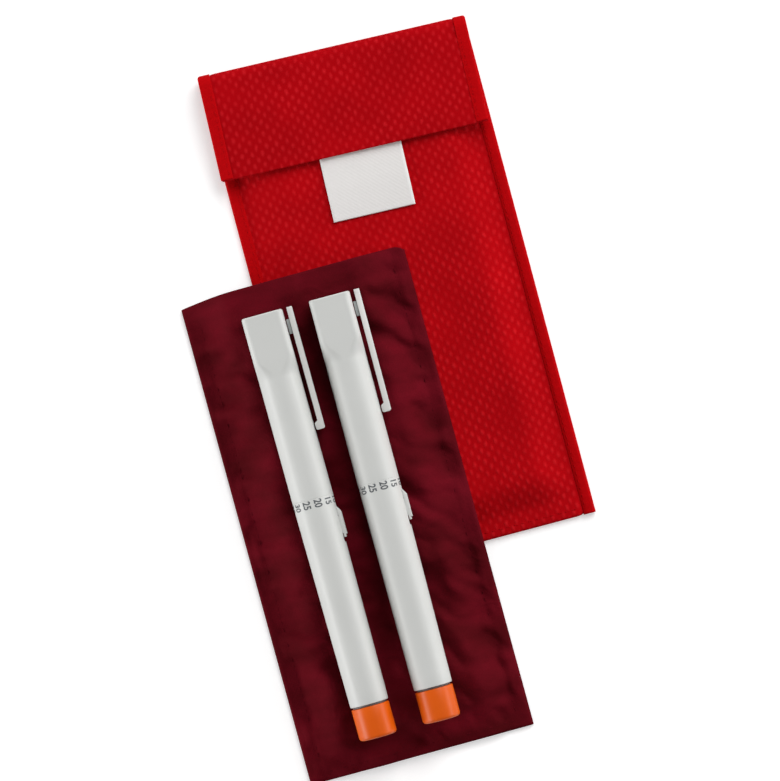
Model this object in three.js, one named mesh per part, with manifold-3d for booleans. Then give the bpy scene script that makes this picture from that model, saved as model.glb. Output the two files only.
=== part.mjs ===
// A cooling case for insulin: a flapped cloth wallet, the crystal-filled pouch that belongs
// inside it, and two injection pens on top, laid out as in use. Millimetres, +Z up.
// +X runs across the wallet and +Y towards its flap. The origin is the middle of the wallet's
// back panel, on the surface that it lies on.
import * as THREE from 'three';
import { mergeVertices } from 'three/addons/utils/BufferGeometryUtils.js';
import Module from 'manifold-3d';

const wasm = await Module();
wasm.setup();

// Clearances
const layGap = 0.3; // between soft pieces that lie on each other or meet end to end
const sewnGap = 0.1; // between cloth layers that are sewn together
const tapeGap = 0.15; // between an edge tape and the cloth that it wraps
const runGap = 0.3; // between rigid pieces that slide, turn or screw together
const fitGap = 0.2; // around a piece held still inside another
const cutOverrun = 2; // how far a cutting tool runs past what it cuts

// Wallet cloth
const walletWidth = 101.5;
const walletLowerEnd = 95; // from the origin to the bottom edge
const foldAxisY = 92.5; // from the origin to the flap's fold axis, on the centre line
const foldTurn = THREE.MathUtils.degToRad(-1.8); // the flap is folded a little askew
const backThickness = 0.9;
const wallThickness = 0.6;
const walletPocketHeight = 4.3;
const walletSlopeWidth = 14; // from the flat front down to the sewn edge
const walletEdgeGap = 0.2; // between the two panels at the sewn edge
const mouthY = 85.5;
const mouthHemWidth = 6;

// Edge tape, folded over the sewn edges
const tapeWidth = 4.6;
const tapeThickness = 0.35;

// Flap
const flapReach = 35.4; // from the fold axis to the free edge
const patchThickness = 0.6;
const patchMeshGap = 0.2; // between the hooks and the loops
const patchWidth = 54;
const patchDepth = 17;
const patchInset = 9; // from the free edge to the patches
const flapHemWidth = 7;
const labelWidth = 30.9;
const labelOffset = 1.9; // to the right of the flap's middle
const labelDrop = 24.4; // below the flap's free edge
const labelTuck = 4; // under the flap's hem
const labelThickness = 0.5;

// Inner pouch
const pouchWidth = 85.1;
const pouchLength = 183.5;
const pouchCentreX = -35.05;
const pouchCentreY = -73.5;
const pouchTurn = THREE.MathUtils.degToRad(0.4);
const sheetThickness = 0.5;
const padThickness = 0.9;
const pouchPocketHeight = 4.4;
const flangeWidth = 6; // flat seam along both sides
const lowerFlangeWidth = 4; // flat seam along the bottom
const pouchSlopeWidth = 9; // from the seam up to the filled middle
const padInset = 1; // from the slope to the pad
const padMouthInset = 10; // from the mouth to the pads
const pouchHemWidth = 6;
const leftMouthDrop = 1.6; // how far the mouth's left corner hangs back
const leftMouthDropWidth = 22;
const rightMouthDrop = 1.8;
const rightMouthDropWidth = 4;
const tableGap = 0.3; // the hanging pouch stops this far above the table
const leftHangStart = 5.5; // past the wallet's left edge, where the pouch starts to hang
const leftHangWidth = 20;
const lowerHangStart = 12; // before the wallet's bottom edge, where it starts to hang
const lowerHangWidth = 44;

// Pens. Stations run from the top of the cap towards the dose selector.
const leftPenTop = new THREE.Vector2(-49.7, 7.1);
const leftPenTurn = THREE.MathUtils.degToRad(0.57);
const rightPenTop = new THREE.Vector2(-24.15, 7.2);
const rightPenTurn = THREE.MathUtils.degToRad(0.05);

// Cap and clip
const capLength = 70.1;
const capRadius = 7.7;
const capRimRadius = 7.55;
const capRimLength = 2;
const capTopChamfer = 0.4;
const headLength = 20.5; // the squared end of the cap
const headBlend = 3; // from the squared end to the round tube
const headCorner = 3;
const capBore = 6.75;
const capTopWall = 4;
const clipLength = 46.4;
const clipWidth = 4.4;
const clipBar = 2.1;
const clipGap = 1.6;
const clipBridgeStart = 4.3;
const clipBridgeLength = 5.5;
const clipFootLength = 2.9;
const clipFootGap = 0.4; // between the clip's foot and the cap
const clipTipChamfer = 1;

// Cartridge holder, screwed into the barrel, with the needle's thread on its nose
const noseStart = 9.3;
const noseLength = 6.2;
const noseRadius = 4.7;
const noseBore = 3.95;
const holderShoulder = 3;
const holderRadius = 6.35;
const holderBore = 5.95;
const holderTail = 6.6; // inside the barrel
const snapBeadInset = 4.1; // from the cap's rim to the bead's start
const snapBeadLength = 3;
const snapBeadRadius = 6.45;
const snapBeadRamp = 0.5;

// Cartridge
const cartridgeRadius = 5.7;
const cartridgeBore = 4.9;
const cartridgeNeck = 3.3;
const cartridgeNeckBore = 2.2;
const cartridgeNeckInset = 3; // from the holder's nose to the cartridge's neck
const cartridgeNeckLength = 5.2;
const cartridgeShoulder = 2;
const cartridgeTail = 5.1; // inside the barrel
const crimpThickness = 0.3;
const crimpLength = 3;
const plungerRadius = 4.65;
const plungerLength = 3.6;
const plungerRib = 0.25; // depth of the groove between its sealing ribs

// Barrel
const barrelLength = 77.8;
const barrelRadius = 7.7;
const barrelEndRadius = 7.2;
const barrelRimRadius = 7.6;
const barrelRimLength = 0.6;
const barrelBore = 6;
const socketBore = 6.6;
const socketLength = 8.1;

// Release slider, in a slot on the clip's side
const slotInset = 8.1; // from the barrel's start
const sliderTravel = 3;
const sliderStem = 6.5;
const sliderWidth = 4.4;
const sliderInset = 4.9; // from the barrel's start
const sliderLength = 11.6;
const sliderRise = 1.25; // above the barrel
const sliderNose = 1.6; // length of its sloped start
const sliderStep = 0.5; // the small step at its end
const sliderLipHeight = 0.2; // between the tab and the barrel
const sliderFlangeInset = 7.2; // from the barrel's start
const sliderFlangeLength = 12.6;
const sliderFlangeOuter = 5.4;
const sliderFlangeInner = 4.7;

// Drive
const nutInset = 25.6; // from the barrel's start
const nutLength = 8;
const rodRadius = 2.2;
const rodHeadRadius = 3.8;
const rodHeadLength = 1.3;
const rodTailInset = 1.5; // from the rod's end to the collar's far end
const springWireRadius = 0.45;
const springRadius = 4.6;
const springTurns = 9;

// Dose selector and its collar
const collarNeck = 5.6;
const collarNeckLength = 8.4;
const collarBore = 4.2;
const collarRadius = 6.3;
const collarLength = 0.3;
const selectorLength = 12;
const selectorRadius = 7.1;
const selectorEdge = 1.3;
const selectorRimChamfer = 0.3;
const selectorSpigot = 3.9;
const selectorSpigotLength = 6.9;
const selectorDish = 0.4; // depth of the shallow dish in its end
const selectorDishRadius = 4.6;

// Facets
const outerSegments = 24;
const innerSegments = 20;
const springStepsPerTurn = 10;
const springSides = 5;
const slopeSteps = 5;
const acrossSteps = 10;
const alongSteps = 18;
const foldSteps = 10;
const weldDistance = 0.0001;

// Heights in the wallet's stack
const walletFrontTop = backThickness + walletPocketHeight + wallThickness;
const walletEdgeTop = backThickness + walletEdgeGap + wallThickness;
const walletTapeHeight = walletEdgeTop + tapeGap + tapeThickness;
const loopBottom = walletFrontTop + sewnGap;
const hookBottom = loopBottom + patchThickness + patchMeshGap;
const flapBottom = hookBottom + patchThickness + sewnGap;
const flapTop = flapBottom + wallThickness;
const foldRadius = flapTop / 2;
const flapTapeBottom = flapBottom - tapeGap - tapeThickness;
const flapTapeTop = flapTop + tapeGap + tapeThickness;
const labelTop = flapTapeBottom - tapeGap;

// Heights in the pouch's stack, above its underside
const flangeHeight = sheetThickness * 2 + layGap;
const lowerPadBottom = sheetThickness + sewnGap;
const filledHeight = pouchPocketHeight + (lowerPadBottom + padThickness) * 2;
const pouchSeat = walletFrontTop + layGap;
const penAxisZ = pouchSeat + filledHeight + layGap + capRadius;

// Stations along a pen
const barrelStart = capLength + runGap;
const barrelEnd = barrelStart + barrelLength;
const collarStart = barrelEnd + runGap;
const collarEnd = collarStart + collarLength;
const selectorStart = collarEnd + fitGap;
const selectorEnd = selectorStart + selectorLength;
const collarNeckStart = collarStart - collarNeckLength;
const snapBeadStart = capLength - snapBeadInset;
const cartridgeNeckStart = noseStart + cartridgeNeckInset;
const cartridgeEnd = barrelStart + cartridgeTail;
const slotStart = barrelStart + slotInset;
const slotLength = sliderStem + sliderTravel + runGap * 2;
const sliderStart = barrelStart + sliderInset;
const sliderFlangeStart = barrelStart + sliderFlangeInset;
const nutStart = barrelStart + nutInset;

// Colours of cloth and plastic
const paint = {
  redCloth: finish(0xa60a10, 0.9, 0),
  redTape: finish(0xae0910, 0.8, 0),
  maroonCloth: finish(0x560d14, 0.9, 0),
  crystals: finish(0xd9d2c4, 0.95, 0),
  patch: finish(0x7d090e, 1, 0),
  label: finish(0xe9e4e2, 0.7, 0),
  whitePlastic: finish(0xd2d5d1, 0.4, 0),
  greyPlastic: finish(0x9a9d9c, 0.45, 0),
  orangePlastic: finish(0xd0570c, 0.4, 0),
  clearPlastic: finish(0xe2e8ea, 0.15, 0),
  glass: finish(0xdfeaec, 0.05, 0),
  rubber: finish(0x4a4c50, 0.8, 0),
  steel: finish(0xb4b6b8, 0.35, 1),
};

function finish(color, roughness, metalness) {
  return new THREE.MeshStandardMaterial({ color, roughness, metalness });
}

function smoothStep(value) {
  const share = Math.min(Math.max(value, 0), 1);
  return share * share * (3 - 2 * share);
}

// Every solid ends here: only positions, welded corners, no empty faces, faces turned outwards.
function weld(geometry) {
  const bare = geometry.clone();
  bare.deleteAttribute('normal');
  bare.deleteAttribute('uv');
  const welded = mergeVertices(bare, weldDistance);
  const corner = (k) => new THREE.Vector3().fromBufferAttribute(welded.attributes.position, k);
  const faces = [];
  let volume = 0;
  for (let i = 0; i < welded.index.count; i += 3) {
    const [a, b, c] = [0, 1, 2].map((k) => welded.index.getX(i + k));
    if (a !== b && b !== c && c !== a) {
      faces.push([a, b, c]);
      volume += corner(a).dot(corner(b).cross(corner(c)));
    }
  }
  welded.setIndex(faces.flatMap(([a, b, c]) => (volume < 0 ? [a, c, b] : [a, b, c])));
  return welded;
}

function toManifold(geometry) {
  const vertProperties = Float32Array.from(geometry.attributes.position.array);
  const triVerts = Uint32Array.from(geometry.index.array);
  return new wasm.Manifold(new wasm.Mesh({ numProp: 3, vertProperties, triVerts }));
}

function cut(geometry, tool) {
  const result = toManifold(geometry).subtract(toManifold(tool)).getMesh();
  const left = new THREE.BufferGeometry();
  left.setAttribute('position', new THREE.BufferAttribute(result.vertProperties, 3));
  left.setIndex(Array.from(result.triVerts));
  return left;
}

// Turns a profile of [radius, station] pairs round the pen's axis.
function revolve(profile, segments) {
  const points = profile.map(([radius, station]) => new THREE.Vector2(radius, -station));
  return weld(new THREE.LatheGeometry(points, segments));
}

// A box between two corners.
function block([x0, y0, z0], [x1, y1, z1]) {
  const box = new THREE.BoxGeometry(x1 - x0, y1 - y0, z1 - z0);
  return weld(box.translate((x0 + x1) / 2, (y0 + y1) / 2, (z0 + z1) / 2));
}

// Extrudes an outline of [a, b] pairs. Along 'x' the pairs are [y, z], along 'y' they are
// [x, z], and along 'z' they are [x, y].
function prism(axis, outline, from, to) {
  const shape = new THREE.Shape(outline.map(([a, b]) => new THREE.Vector2(a, b)));
  const geometry = new THREE.ExtrudeGeometry(shape, { depth: to - from, bevelEnabled: false });
  const position = geometry.attributes.position;
  for (let i = 0; i < position.count; i += 1) {
    const [a, b, d] = [position.getX(i), position.getY(i), position.getZ(i) + from];
    const placed = { x: [d, a, b], y: [a, d, b], z: [a, b, d] }[axis];
    position.setXYZ(i, ...placed);
  }
  return weld(geometry);
}

// Joins rings of equally many points with a flat face on the first and the last.
function loft(rings) {
  const count = rings[0].length;
  const positions = rings.flat().flatMap((point) => point.toArray());
  const faces = [];
  for (let ring = 0; ring + 1 < rings.length; ring += 1) {
    for (let k = 0; k < count; k += 1) {
      const a = ring * count + k;
      const b = ring * count + ((k + 1) % count);
      faces.push(a, b, b + count, a, b + count, a + count);
    }
  }
  const last = (rings.length - 1) * count;
  for (let k = 1; k + 1 < count; k += 1) {
    faces.push(0, k + 1, k, last, last + k, last + k + 1);
  }
  const geometry = new THREE.BufferGeometry();
  geometry.setAttribute('position', new THREE.Float32BufferAttribute(positions, 3));
  geometry.setIndex(faces);
  return weld(geometry);
}

// A cloth solid over a grid: place gives each grid point its x, y, bottom and top.
function sheet(columns, rows, place) {
  const points = rows.flatMap((row) => columns.map((column) => place(column, row)));
  const positions = [
    ...points.flatMap(({ x, y, top }) => [x, y, top]),
    ...points.flatMap(({ x, y, bottom }) => [x, y, bottom]),
  ];
  const across = columns.length;
  const under = points.length;
  const faces = [];
  const wall = (a, b) => faces.push(b, a, a + under, b, a + under, b + under);
  for (let row = 0; row + 1 < rows.length; row += 1) {
    for (let column = 0; column + 1 < across; column += 1) {
      const [a, b] = [row * across + column, row * across + column + 1];
      const [c, d] = [b + across, a + across];
      faces.push(a, b, c, a, c, d);
      faces.push(a + under, c + under, b + under, a + under, d + under, c + under);
    }
    wall((row + 1) * across, row * across);
    wall(row * across + across - 1, (row + 1) * across + across - 1);
  }
  for (let column = 0; column + 1 < across; column += 1) {
    wall(column, column + 1);
    wall(under - across + column + 1, under - across + column);
  }
  const geometry = new THREE.BufferGeometry();
  geometry.setAttribute('position', new THREE.Float32BufferAttribute(positions, 3));
  geometry.setIndex(faces);
  return weld(geometry);
}

function spread(from, to, steps) {
  return Array.from({ length: steps + 1 }, (_, k) => from + ((to - from) * k) / steps);
}

function mirrored(stations) {
  return [...stations, ...stations.map((station) => -station).reverse()];
}

// An edge tape's section, folded over a stack from bottom to top: its back is at outer.
function tapeSection(outer, bottom, top) {
  const inner = outer - Math.sign(outer) * tapeWidth;
  const back = outer - Math.sign(outer) * tapeThickness;
  return [
    [outer, bottom],
    [outer, top],
    [inner, top],
    [inner, top - tapeThickness],
    [back, top - tapeThickness],
    [back, bottom + tapeThickness],
    [inner, bottom + tapeThickness],
    [inner, bottom],
  ];
}

function foldAxisAt(x) {
  return foldAxisY + x * Math.tan(foldTurn);
}

const group = new THREE.Group();

function add(parent, name, geometry, material) {
  const mesh = new THREE.Mesh(geometry, material);
  mesh.name = name;
  parent.add(mesh);
}

// Wallet: a flat back panel, a front panel that stands off it, tapes over the long sides, a
// fold along the bottom and a hem and loop patch at the mouth.
const clothHalf = walletWidth / 2 - tapeThickness - tapeGap;
const tapeInnerX = walletWidth / 2 - tapeWidth;
const clothLowerEnd = -walletLowerEnd + tapeThickness + tapeGap;
const tapeInnerY = -walletLowerEnd + tapeWidth;

function backPanel() {
  const recessX = tapeInnerX - layGap;
  const recessY = tapeInnerY + layGap;
  const recess = tapeThickness + tapeGap;
  const columns = mirrored([-clothHalf, -tapeInnerX, -recessX]);
  const rows = [clothLowerEnd, tapeInnerY, recessY, mouthY, foldAxisY];
  return sheet(columns, rows, (x, row) => {
    const y = row === foldAxisY ? foldAxisAt(x) - layGap : row;
    const edge = Math.abs(x) > recessX || y < recessY;
    return { x, y, bottom: edge ? recess : 0, top: backThickness };
  });
}

function frontPanel() {
  const slopeEndX = tapeInnerX - walletSlopeWidth;
  const slopeEndY = tapeInnerY + walletSlopeWidth;
  const columns = mirrored([-clothHalf, ...spread(-tapeInnerX, -slopeEndX, slopeSteps)]);
  const rows = [clothLowerEnd, ...spread(tapeInnerY, slopeEndY, slopeSteps), mouthY];
  return sheet(columns, rows, (x, y) => {
    const across = smoothStep((tapeInnerX - Math.abs(x)) / walletSlopeWidth);
    const along = smoothStep((y - tapeInnerY) / walletSlopeWidth);
    const top = walletEdgeTop + (walletFrontTop - walletEdgeTop) * across * along;
    return { x, y, bottom: top - wallThickness, top };
  });
}

function edgeTape(side) {
  const outer = (side * walletWidth) / 2;
  const section = tapeSection(outer, 0, walletTapeHeight);
  return prism('y', section, -walletLowerEnd, foldAxisAt(outer) - layGap);
}

function bottomFold() {
  const half = tapeInnerX - layGap;
  return prism('x', tapeSection(-walletLowerEnd, 0, walletTapeHeight), -half, half);
}

const flatHalf = tapeInnerX - walletSlopeWidth;
const hemBottom = walletFrontTop + sewnGap;
add(group, 'wallet_back_panel', backPanel(), paint.redCloth);
add(group, 'wallet_front_panel', frontPanel(), paint.redCloth);
add(group, 'wallet_left_tape', edgeTape(-1), paint.redTape);
add(group, 'wallet_right_tape', edgeTape(1), paint.redTape);
add(group, 'wallet_bottom_fold', bottomFold(), paint.redCloth);
add(
  group,
  'wallet_mouth_hem',
  block(
    [-flatHalf, mouthY - mouthHemWidth, hemBottom],
    [flatHalf, mouthY, hemBottom + tapeThickness],
  ),
  paint.redTape,
);
const patchLowerY = foldAxisY - flapReach + patchInset;
add(
  group,
  'wallet_loop_patch',
  block(
    [-patchWidth / 2, patchLowerY, loopBottom],
    [patchWidth / 2, Math.min(patchLowerY + patchDepth, mouthY - mouthHemWidth - layGap),
      loopBottom + patchThickness],
  ),
  paint.patch,
);

// Flap: it turns about the fold axis, so its pieces share a frame with that axis along x.
const flap = new THREE.Group();
flap.position.y = foldAxisY;
flap.rotation.z = foldTurn;
group.add(flap);

function flapFold() {
  const arc = (radius, from, to) => spread(from, to, foldSteps).map(
    (angle) => [radius * Math.cos(angle), foldRadius + radius * Math.sin(angle)],
  );
  const quarter = Math.PI / 2;
  const outline = [
    ...arc(foldRadius, -quarter, quarter),
    ...arc(foldRadius - wallThickness, quarter, -quarter),
  ];
  return prism('x', outline, -clothHalf, clothHalf);
}

function flapTape(side) {
  const section = tapeSection((side * walletWidth) / 2, flapTapeBottom, flapTapeTop);
  return prism('y', section, -flapReach, -layGap);
}

const flapHemHalf = tapeInnerX - layGap;
add(flap, 'flap_fold', flapFold(), paint.redCloth);
add(
  flap,
  'flap_panel',
  block([-clothHalf, -flapReach, flapBottom], [clothHalf, -layGap, flapTop]),
  paint.redCloth,
);
add(flap, 'flap_left_tape', flapTape(-1), paint.redTape);
add(flap, 'flap_right_tape', flapTape(1), paint.redTape);
add(
  flap,
  'flap_hem',
  block(
    [-flapHemHalf, -flapReach, flapTapeBottom],
    [flapHemHalf, -flapReach + flapHemWidth, flapTapeBottom + tapeThickness],
  ),
  paint.redCloth,
);
add(
  flap,
  'flap_hook_patch',
  block(
    [-patchWidth / 2, -flapReach + patchInset, hookBottom],
    [patchWidth / 2, -flapReach + patchInset + patchDepth, hookBottom + patchThickness],
  ),
  paint.patch,
);
add(
  flap,
  'flap_label_tab',
  block(
    [labelOffset - labelWidth / 2, -flapReach - labelDrop, labelTop - labelThickness],
    [labelOffset + labelWidth / 2, -flapReach + labelTuck, labelTop],
  ),
  paint.label,
);

// Pouch: two cloth sheets sewn together round three sides, each lined with a pad of crystals.
// It lies on the wallet and hangs towards the table past the wallet's left and bottom edges.
const pouchHalf = pouchWidth / 2;
const pouchEnd = pouchLength / 2;

function pouchPoint(p, q) {
  const turned = new THREE.Vector2(p, q).rotateAround(new THREE.Vector2(), pouchTurn);
  return { x: pouchCentreX + turned.x, y: pouchCentreY + turned.y };
}

function underside({ x, y }) {
  const left = smoothStep((-walletWidth / 2 - leftHangStart - x) / leftHangWidth);
  const lower = smoothStep((-walletLowerEnd + lowerHangStart - y) / lowerHangWidth);
  return tableGap + (pouchSeat - tableGap) * (1 - left) * (1 - lower);
}

function fullness(p, q) {
  const across = smoothStep((pouchHalf - flangeWidth - Math.abs(p)) / pouchSlopeWidth);
  const along = smoothStep((q + pouchEnd - lowerFlangeWidth) / pouchSlopeWidth);
  return flangeHeight + (filledHeight - flangeHeight) * across * along;
}

function mouthAt(p) {
  const left = Math.max(0, (leftMouthDropWidth - pouchHalf - p) / leftMouthDropWidth);
  const right = Math.max(0, (p - pouchHalf + rightMouthDropWidth) / rightMouthDropWidth);
  return pouchEnd - leftMouthDrop * left ** 2 - rightMouthDrop * right ** 2;
}

// One cloth layer of the pouch, with rows given as distances below the mouth or above the end.
function pouchLayer(columns, lowerRows, upperRows, heights) {
  const rows = [
    ...lowerRows.map((above) => () => -pouchEnd + above),
    ...upperRows.map((below) => (p) => mouthAt(p) - below),
  ];
  return sheet(columns, rows, (p, row) => {
    const q = row(p);
    const point = pouchPoint(p, q);
    const [bottom, top] = heights(p, q);
    const base = underside(point);
    return { ...point, bottom: base + bottom, top: base + top };
  });
}

// All layers share the grid's stations, so that they stay parallel where the pouch hangs.
const slopeStart = pouchHalf - flangeWidth;
const slopeEnd = slopeStart - pouchSlopeWidth;
const lowerSlopeEnd = lowerFlangeWidth + pouchSlopeWidth;
const padHalf = slopeEnd - padInset;
const padColumns = spread(-padHalf, padHalf, acrossSteps);
const padRows = spread(lowerSlopeEnd + padInset, pouchLength - padMouthInset, alongSteps);
const sheetColumns = [
  -pouchHalf,
  ...spread(-slopeStart, -slopeEnd, slopeSteps),
  ...padColumns,
  ...spread(slopeEnd, slopeStart, slopeSteps),
  pouchHalf,
];
const sheetLowerRows = [
  0,
  ...spread(lowerFlangeWidth, lowerSlopeEnd, slopeSteps),
  ...padRows,
];
const hemRows = [pouchHemWidth, 0];
const hemThickness = padThickness / 2;

add(
  group,
  'pouch_back_sheet',
  pouchLayer(sheetColumns, sheetLowerRows, hemRows, () => [0, sheetThickness]),
  paint.maroonCloth,
);
add(
  group,
  'pouch_front_sheet',
  pouchLayer(sheetColumns, sheetLowerRows, hemRows, (p, q) => [
    fullness(p, q) - sheetThickness,
    fullness(p, q),
  ]),
  paint.maroonCloth,
);
add(
  group,
  'pouch_back_crystal_pad',
  pouchLayer(padColumns, padRows, [], () => [lowerPadBottom, lowerPadBottom + padThickness]),
  paint.crystals,
);
add(
  group,
  'pouch_front_crystal_pad',
  pouchLayer(padColumns, padRows, [], () => [
    filledHeight - lowerPadBottom - padThickness,
    filledHeight - lowerPadBottom,
  ]),
  paint.crystals,
);
add(
  group,
  'pouch_back_mouth_hem',
  pouchLayer(padColumns, [], hemRows, () => [lowerPadBottom, lowerPadBottom + hemThickness]),
  paint.maroonCloth,
);
add(
  group,
  'pouch_front_mouth_hem',
  pouchLayer(padColumns, [], hemRows, () => [
    filledHeight - lowerPadBottom - hemThickness,
    filledHeight - lowerPadBottom,
  ]),
  paint.maroonCloth,
);

// Pens. The axis is y, with the cap's top at zero, and x points to the clip's side.
function capRing(half, corner, station) {
  const inset = half - corner;
  return Array.from({ length: outerSegments }, (_, k) => {
    const angle = ((k + 0.5) / outerSegments) * Math.PI * 2;
    const [c, s] = [Math.cos(angle), Math.sin(angle)];
    return new THREE.Vector3(
      inset * Math.sign(c) + corner * c,
      -station,
      inset * Math.sign(s) + corner * s,
    );
  });
}

// The cap is one loft: up the round bore, out over the rim and back to the squared top.
function cap() {
  const chamfered = capRadius - capTopChamfer;
  return loft([
    capRing(capBore, capBore, capTopWall),
    capRing(capBore, capBore, capLength),
    capRing(capRimRadius, capRimRadius, capLength),
    capRing(capRadius, capRadius, capLength - capRimLength),
    capRing(capRadius, capRadius, headLength + headBlend),
    capRing(capRadius, headCorner, headLength),
    capRing(capRadius, headCorner, capTopChamfer),
    capRing(chamfered, headCorner - capTopChamfer, 0),
  ]);
}

function capClip() {
  const inner = capRadius + clipGap;
  const outer = inner + clipBar;
  const bridgeEnd = clipBridgeStart + clipBridgeLength;
  const outline = [
    [inner, 0],
    [outer, 0],
    [outer, -clipLength + clipTipChamfer],
    [outer - clipTipChamfer, -clipLength],
    [capRadius + clipFootGap + clipTipChamfer, -clipLength],
    [capRadius + clipFootGap, -clipLength + clipTipChamfer],
    [capRadius + clipFootGap, -clipLength + clipFootLength],
    [inner, -clipLength + clipFootLength + clipTipChamfer],
    [inner, -bridgeEnd],
    [capRadius + runGap, -bridgeEnd],
    [capRadius + runGap, -clipBridgeStart],
    [inner, -clipBridgeStart],
  ];
  return prism('z', outline, -clipWidth / 2, clipWidth / 2);
}

function cartridgeHolder() {
  const shoulderStart = noseStart + noseLength;
  const shoulderEnd = shoulderStart + holderShoulder;
  const beadEnd = snapBeadStart + snapBeadLength;
  const end = barrelStart + holderTail;
  return revolve([
    [noseBore, noseStart],
    [noseRadius, noseStart],
    [noseRadius, shoulderStart],
    [holderRadius, shoulderEnd],
    [holderRadius, snapBeadStart],
    [snapBeadRadius, snapBeadStart + snapBeadRamp],
    [snapBeadRadius, beadEnd - snapBeadRamp],
    [holderRadius, beadEnd],
    [holderRadius, end],
    [holderBore, end],
    [holderBore, shoulderEnd],
    [noseBore, shoulderStart],
    [noseBore, noseStart],
  ], outerSegments);
}

function cartridge() {
  const wall = cartridgeRadius - cartridgeBore;
  const neckEnd = cartridgeNeckStart + cartridgeNeckLength;
  const shoulderEnd = neckEnd + cartridgeShoulder;
  return revolve([
    [cartridgeNeckBore, cartridgeNeckStart],
    [cartridgeNeck, cartridgeNeckStart],
    [cartridgeNeck, neckEnd],
    [cartridgeRadius, shoulderEnd],
    [cartridgeRadius, cartridgeEnd],
    [cartridgeBore, cartridgeEnd],
    [cartridgeBore, shoulderEnd + wall],
    [cartridgeNeckBore, neckEnd + wall],
    [cartridgeNeckBore, cartridgeNeckStart],
  ], innerSegments);
}

function crimpCap() {
  const inner = cartridgeNeck + fitGap;
  const outer = inner + crimpThickness;
  const top = cartridgeNeckStart - fitGap - crimpThickness;
  return revolve([
    [0, top],
    [outer, top],
    [outer, top + crimpLength],
    [inner, top + crimpLength],
    [inner, top + crimpThickness],
    [0, top + crimpThickness],
  ], innerSegments);
}

// Three ribs seal the plunger against the glass.
function plunger() {
  const ribs = 3;
  const start = cartridgeEnd - fitGap - plungerLength;
  const rib = plungerLength / (ribs * 2 - 1);
  const side = Array.from({ length: ribs * 2 - 1 }, (_, k) => {
    const radius = plungerRadius - (k % 2) * plungerRib;
    return [[radius, start + rib * k], [radius, start + rib * (k + 1)]];
  });
  return revolve([[0, start], ...side.flat(), [0, start + plungerLength]], innerSegments);
}

function barrel() {
  const body = revolve([
    [socketBore, barrelStart],
    [barrelRimRadius, barrelStart],
    [barrelRadius, barrelStart + barrelRimLength],
    [barrelEndRadius, barrelEnd],
    [barrelBore, barrelEnd],
    [barrelBore, barrelStart + socketLength],
    [socketBore, barrelStart + socketLength],
    [socketBore, barrelStart],
  ], outerSegments);
  const half = sliderWidth / 2 + fitGap;
  const slot = block(
    [0, -slotStart - slotLength, -half],
    [barrelRadius + cutOverrun, -slotStart, half],
  );
  return cut(body, slot);
}

// The slider's tab rides on the barrel, its stem runs in the slot and its flange holds it in.
function releaseSlider() {
  const seat = barrelRadius + sliderLipHeight;
  const top = barrelRadius + sliderRise;
  const end = sliderStart + sliderLength;
  const stemStart = slotStart + runGap;
  const stemEnd = stemStart + sliderStem;
  const flangeEnd = sliderFlangeStart + sliderFlangeLength;
  const outline = [
    [seat, sliderStart],
    [top - sliderStep / 2, sliderStart + sliderNose],
    [top, end - sliderStep * 2],
    [top - sliderStep, end - sliderStep * 2],
    [top - sliderStep, end],
    [seat, end],
    [seat, stemEnd],
    [sliderFlangeOuter, stemEnd],
    [sliderFlangeOuter, flangeEnd],
    [sliderFlangeInner, flangeEnd],
    [sliderFlangeInner, sliderFlangeStart],
    [sliderFlangeOuter, sliderFlangeStart],
    [sliderFlangeOuter, stemStart],
    [seat, stemStart],
  ].map(([x, station]) => [x, -station]);
  return prism('z', outline, -sliderWidth / 2, sliderWidth / 2);
}

function guideNut() {
  const bore = rodRadius + runGap;
  const radius = barrelBore - fitGap;
  const flute = fitGap;
  return revolve([
    [bore, nutStart],
    [radius - flute, nutStart],
    [radius, nutStart + flute],
    [radius, nutStart + nutLength - flute],
    [radius - flute, nutStart + nutLength],
    [bore, nutStart + nutLength],
    [bore, nutStart],
  ], innerSegments);
}

function pistonRod() {
  const headEnd = cartridgeEnd + rodHeadLength;
  const end = collarNeckStart + rodTailInset;
  return revolve([
    [0, cartridgeEnd],
    [rodHeadRadius, cartridgeEnd],
    [rodHeadRadius, headEnd],
    [rodRadius, headEnd],
    [rodRadius, end],
    [0, end],
  ], innerSegments);
}

class Helix extends THREE.Curve {
  getPoint(share, target = new THREE.Vector3()) {
    const start = nutStart + nutLength + runGap + springWireRadius;
    const end = collarNeckStart - runGap - springWireRadius;
    const angle = share * springTurns * Math.PI * 2;
    const station = start + (end - start) * share;
    return target.set(
      springRadius * Math.cos(angle),
      -station,
      springRadius * Math.sin(angle),
    );
  }
}

function driveSpring() {
  const wire = new THREE.Shape(
    Array.from({ length: springSides }, (_, k) => {
      const angle = (k / springSides) * Math.PI * 2;
      return new THREE.Vector2(Math.cos(angle), Math.sin(angle)).multiplyScalar(springWireRadius);
    }),
  );
  return weld(new THREE.ExtrudeGeometry(wire, {
    steps: springTurns * springStepsPerTurn,
    extrudePath: new Helix(),
  }));
}

function selectorCollar() {
  return revolve([
    [collarBore, collarNeckStart],
    [collarNeck, collarNeckStart],
    [collarNeck, collarStart],
    [collarRadius, collarStart],
    [collarRadius, collarEnd],
    [collarBore, collarEnd],
    [collarBore, collarNeckStart],
  ], outerSegments);
}

function doseSelector() {
  const rim = selectorRadius - selectorRimChamfer;
  const middle = selectorEdge / 3;
  return revolve([
    [0, selectorStart - selectorSpigotLength],
    [selectorSpigot, selectorStart - selectorSpigotLength],
    [selectorSpigot, selectorStart],
    [rim, selectorStart],
    [selectorRadius, selectorStart + selectorRimChamfer],
    [selectorRadius, selectorEnd - selectorEdge],
    [selectorRadius - middle, selectorEnd - middle],
    [selectorRadius - selectorEdge, selectorEnd],
    [selectorDishRadius, selectorEnd],
    [0, selectorEnd - selectorDish],
  ], outerSegments);
}

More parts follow.
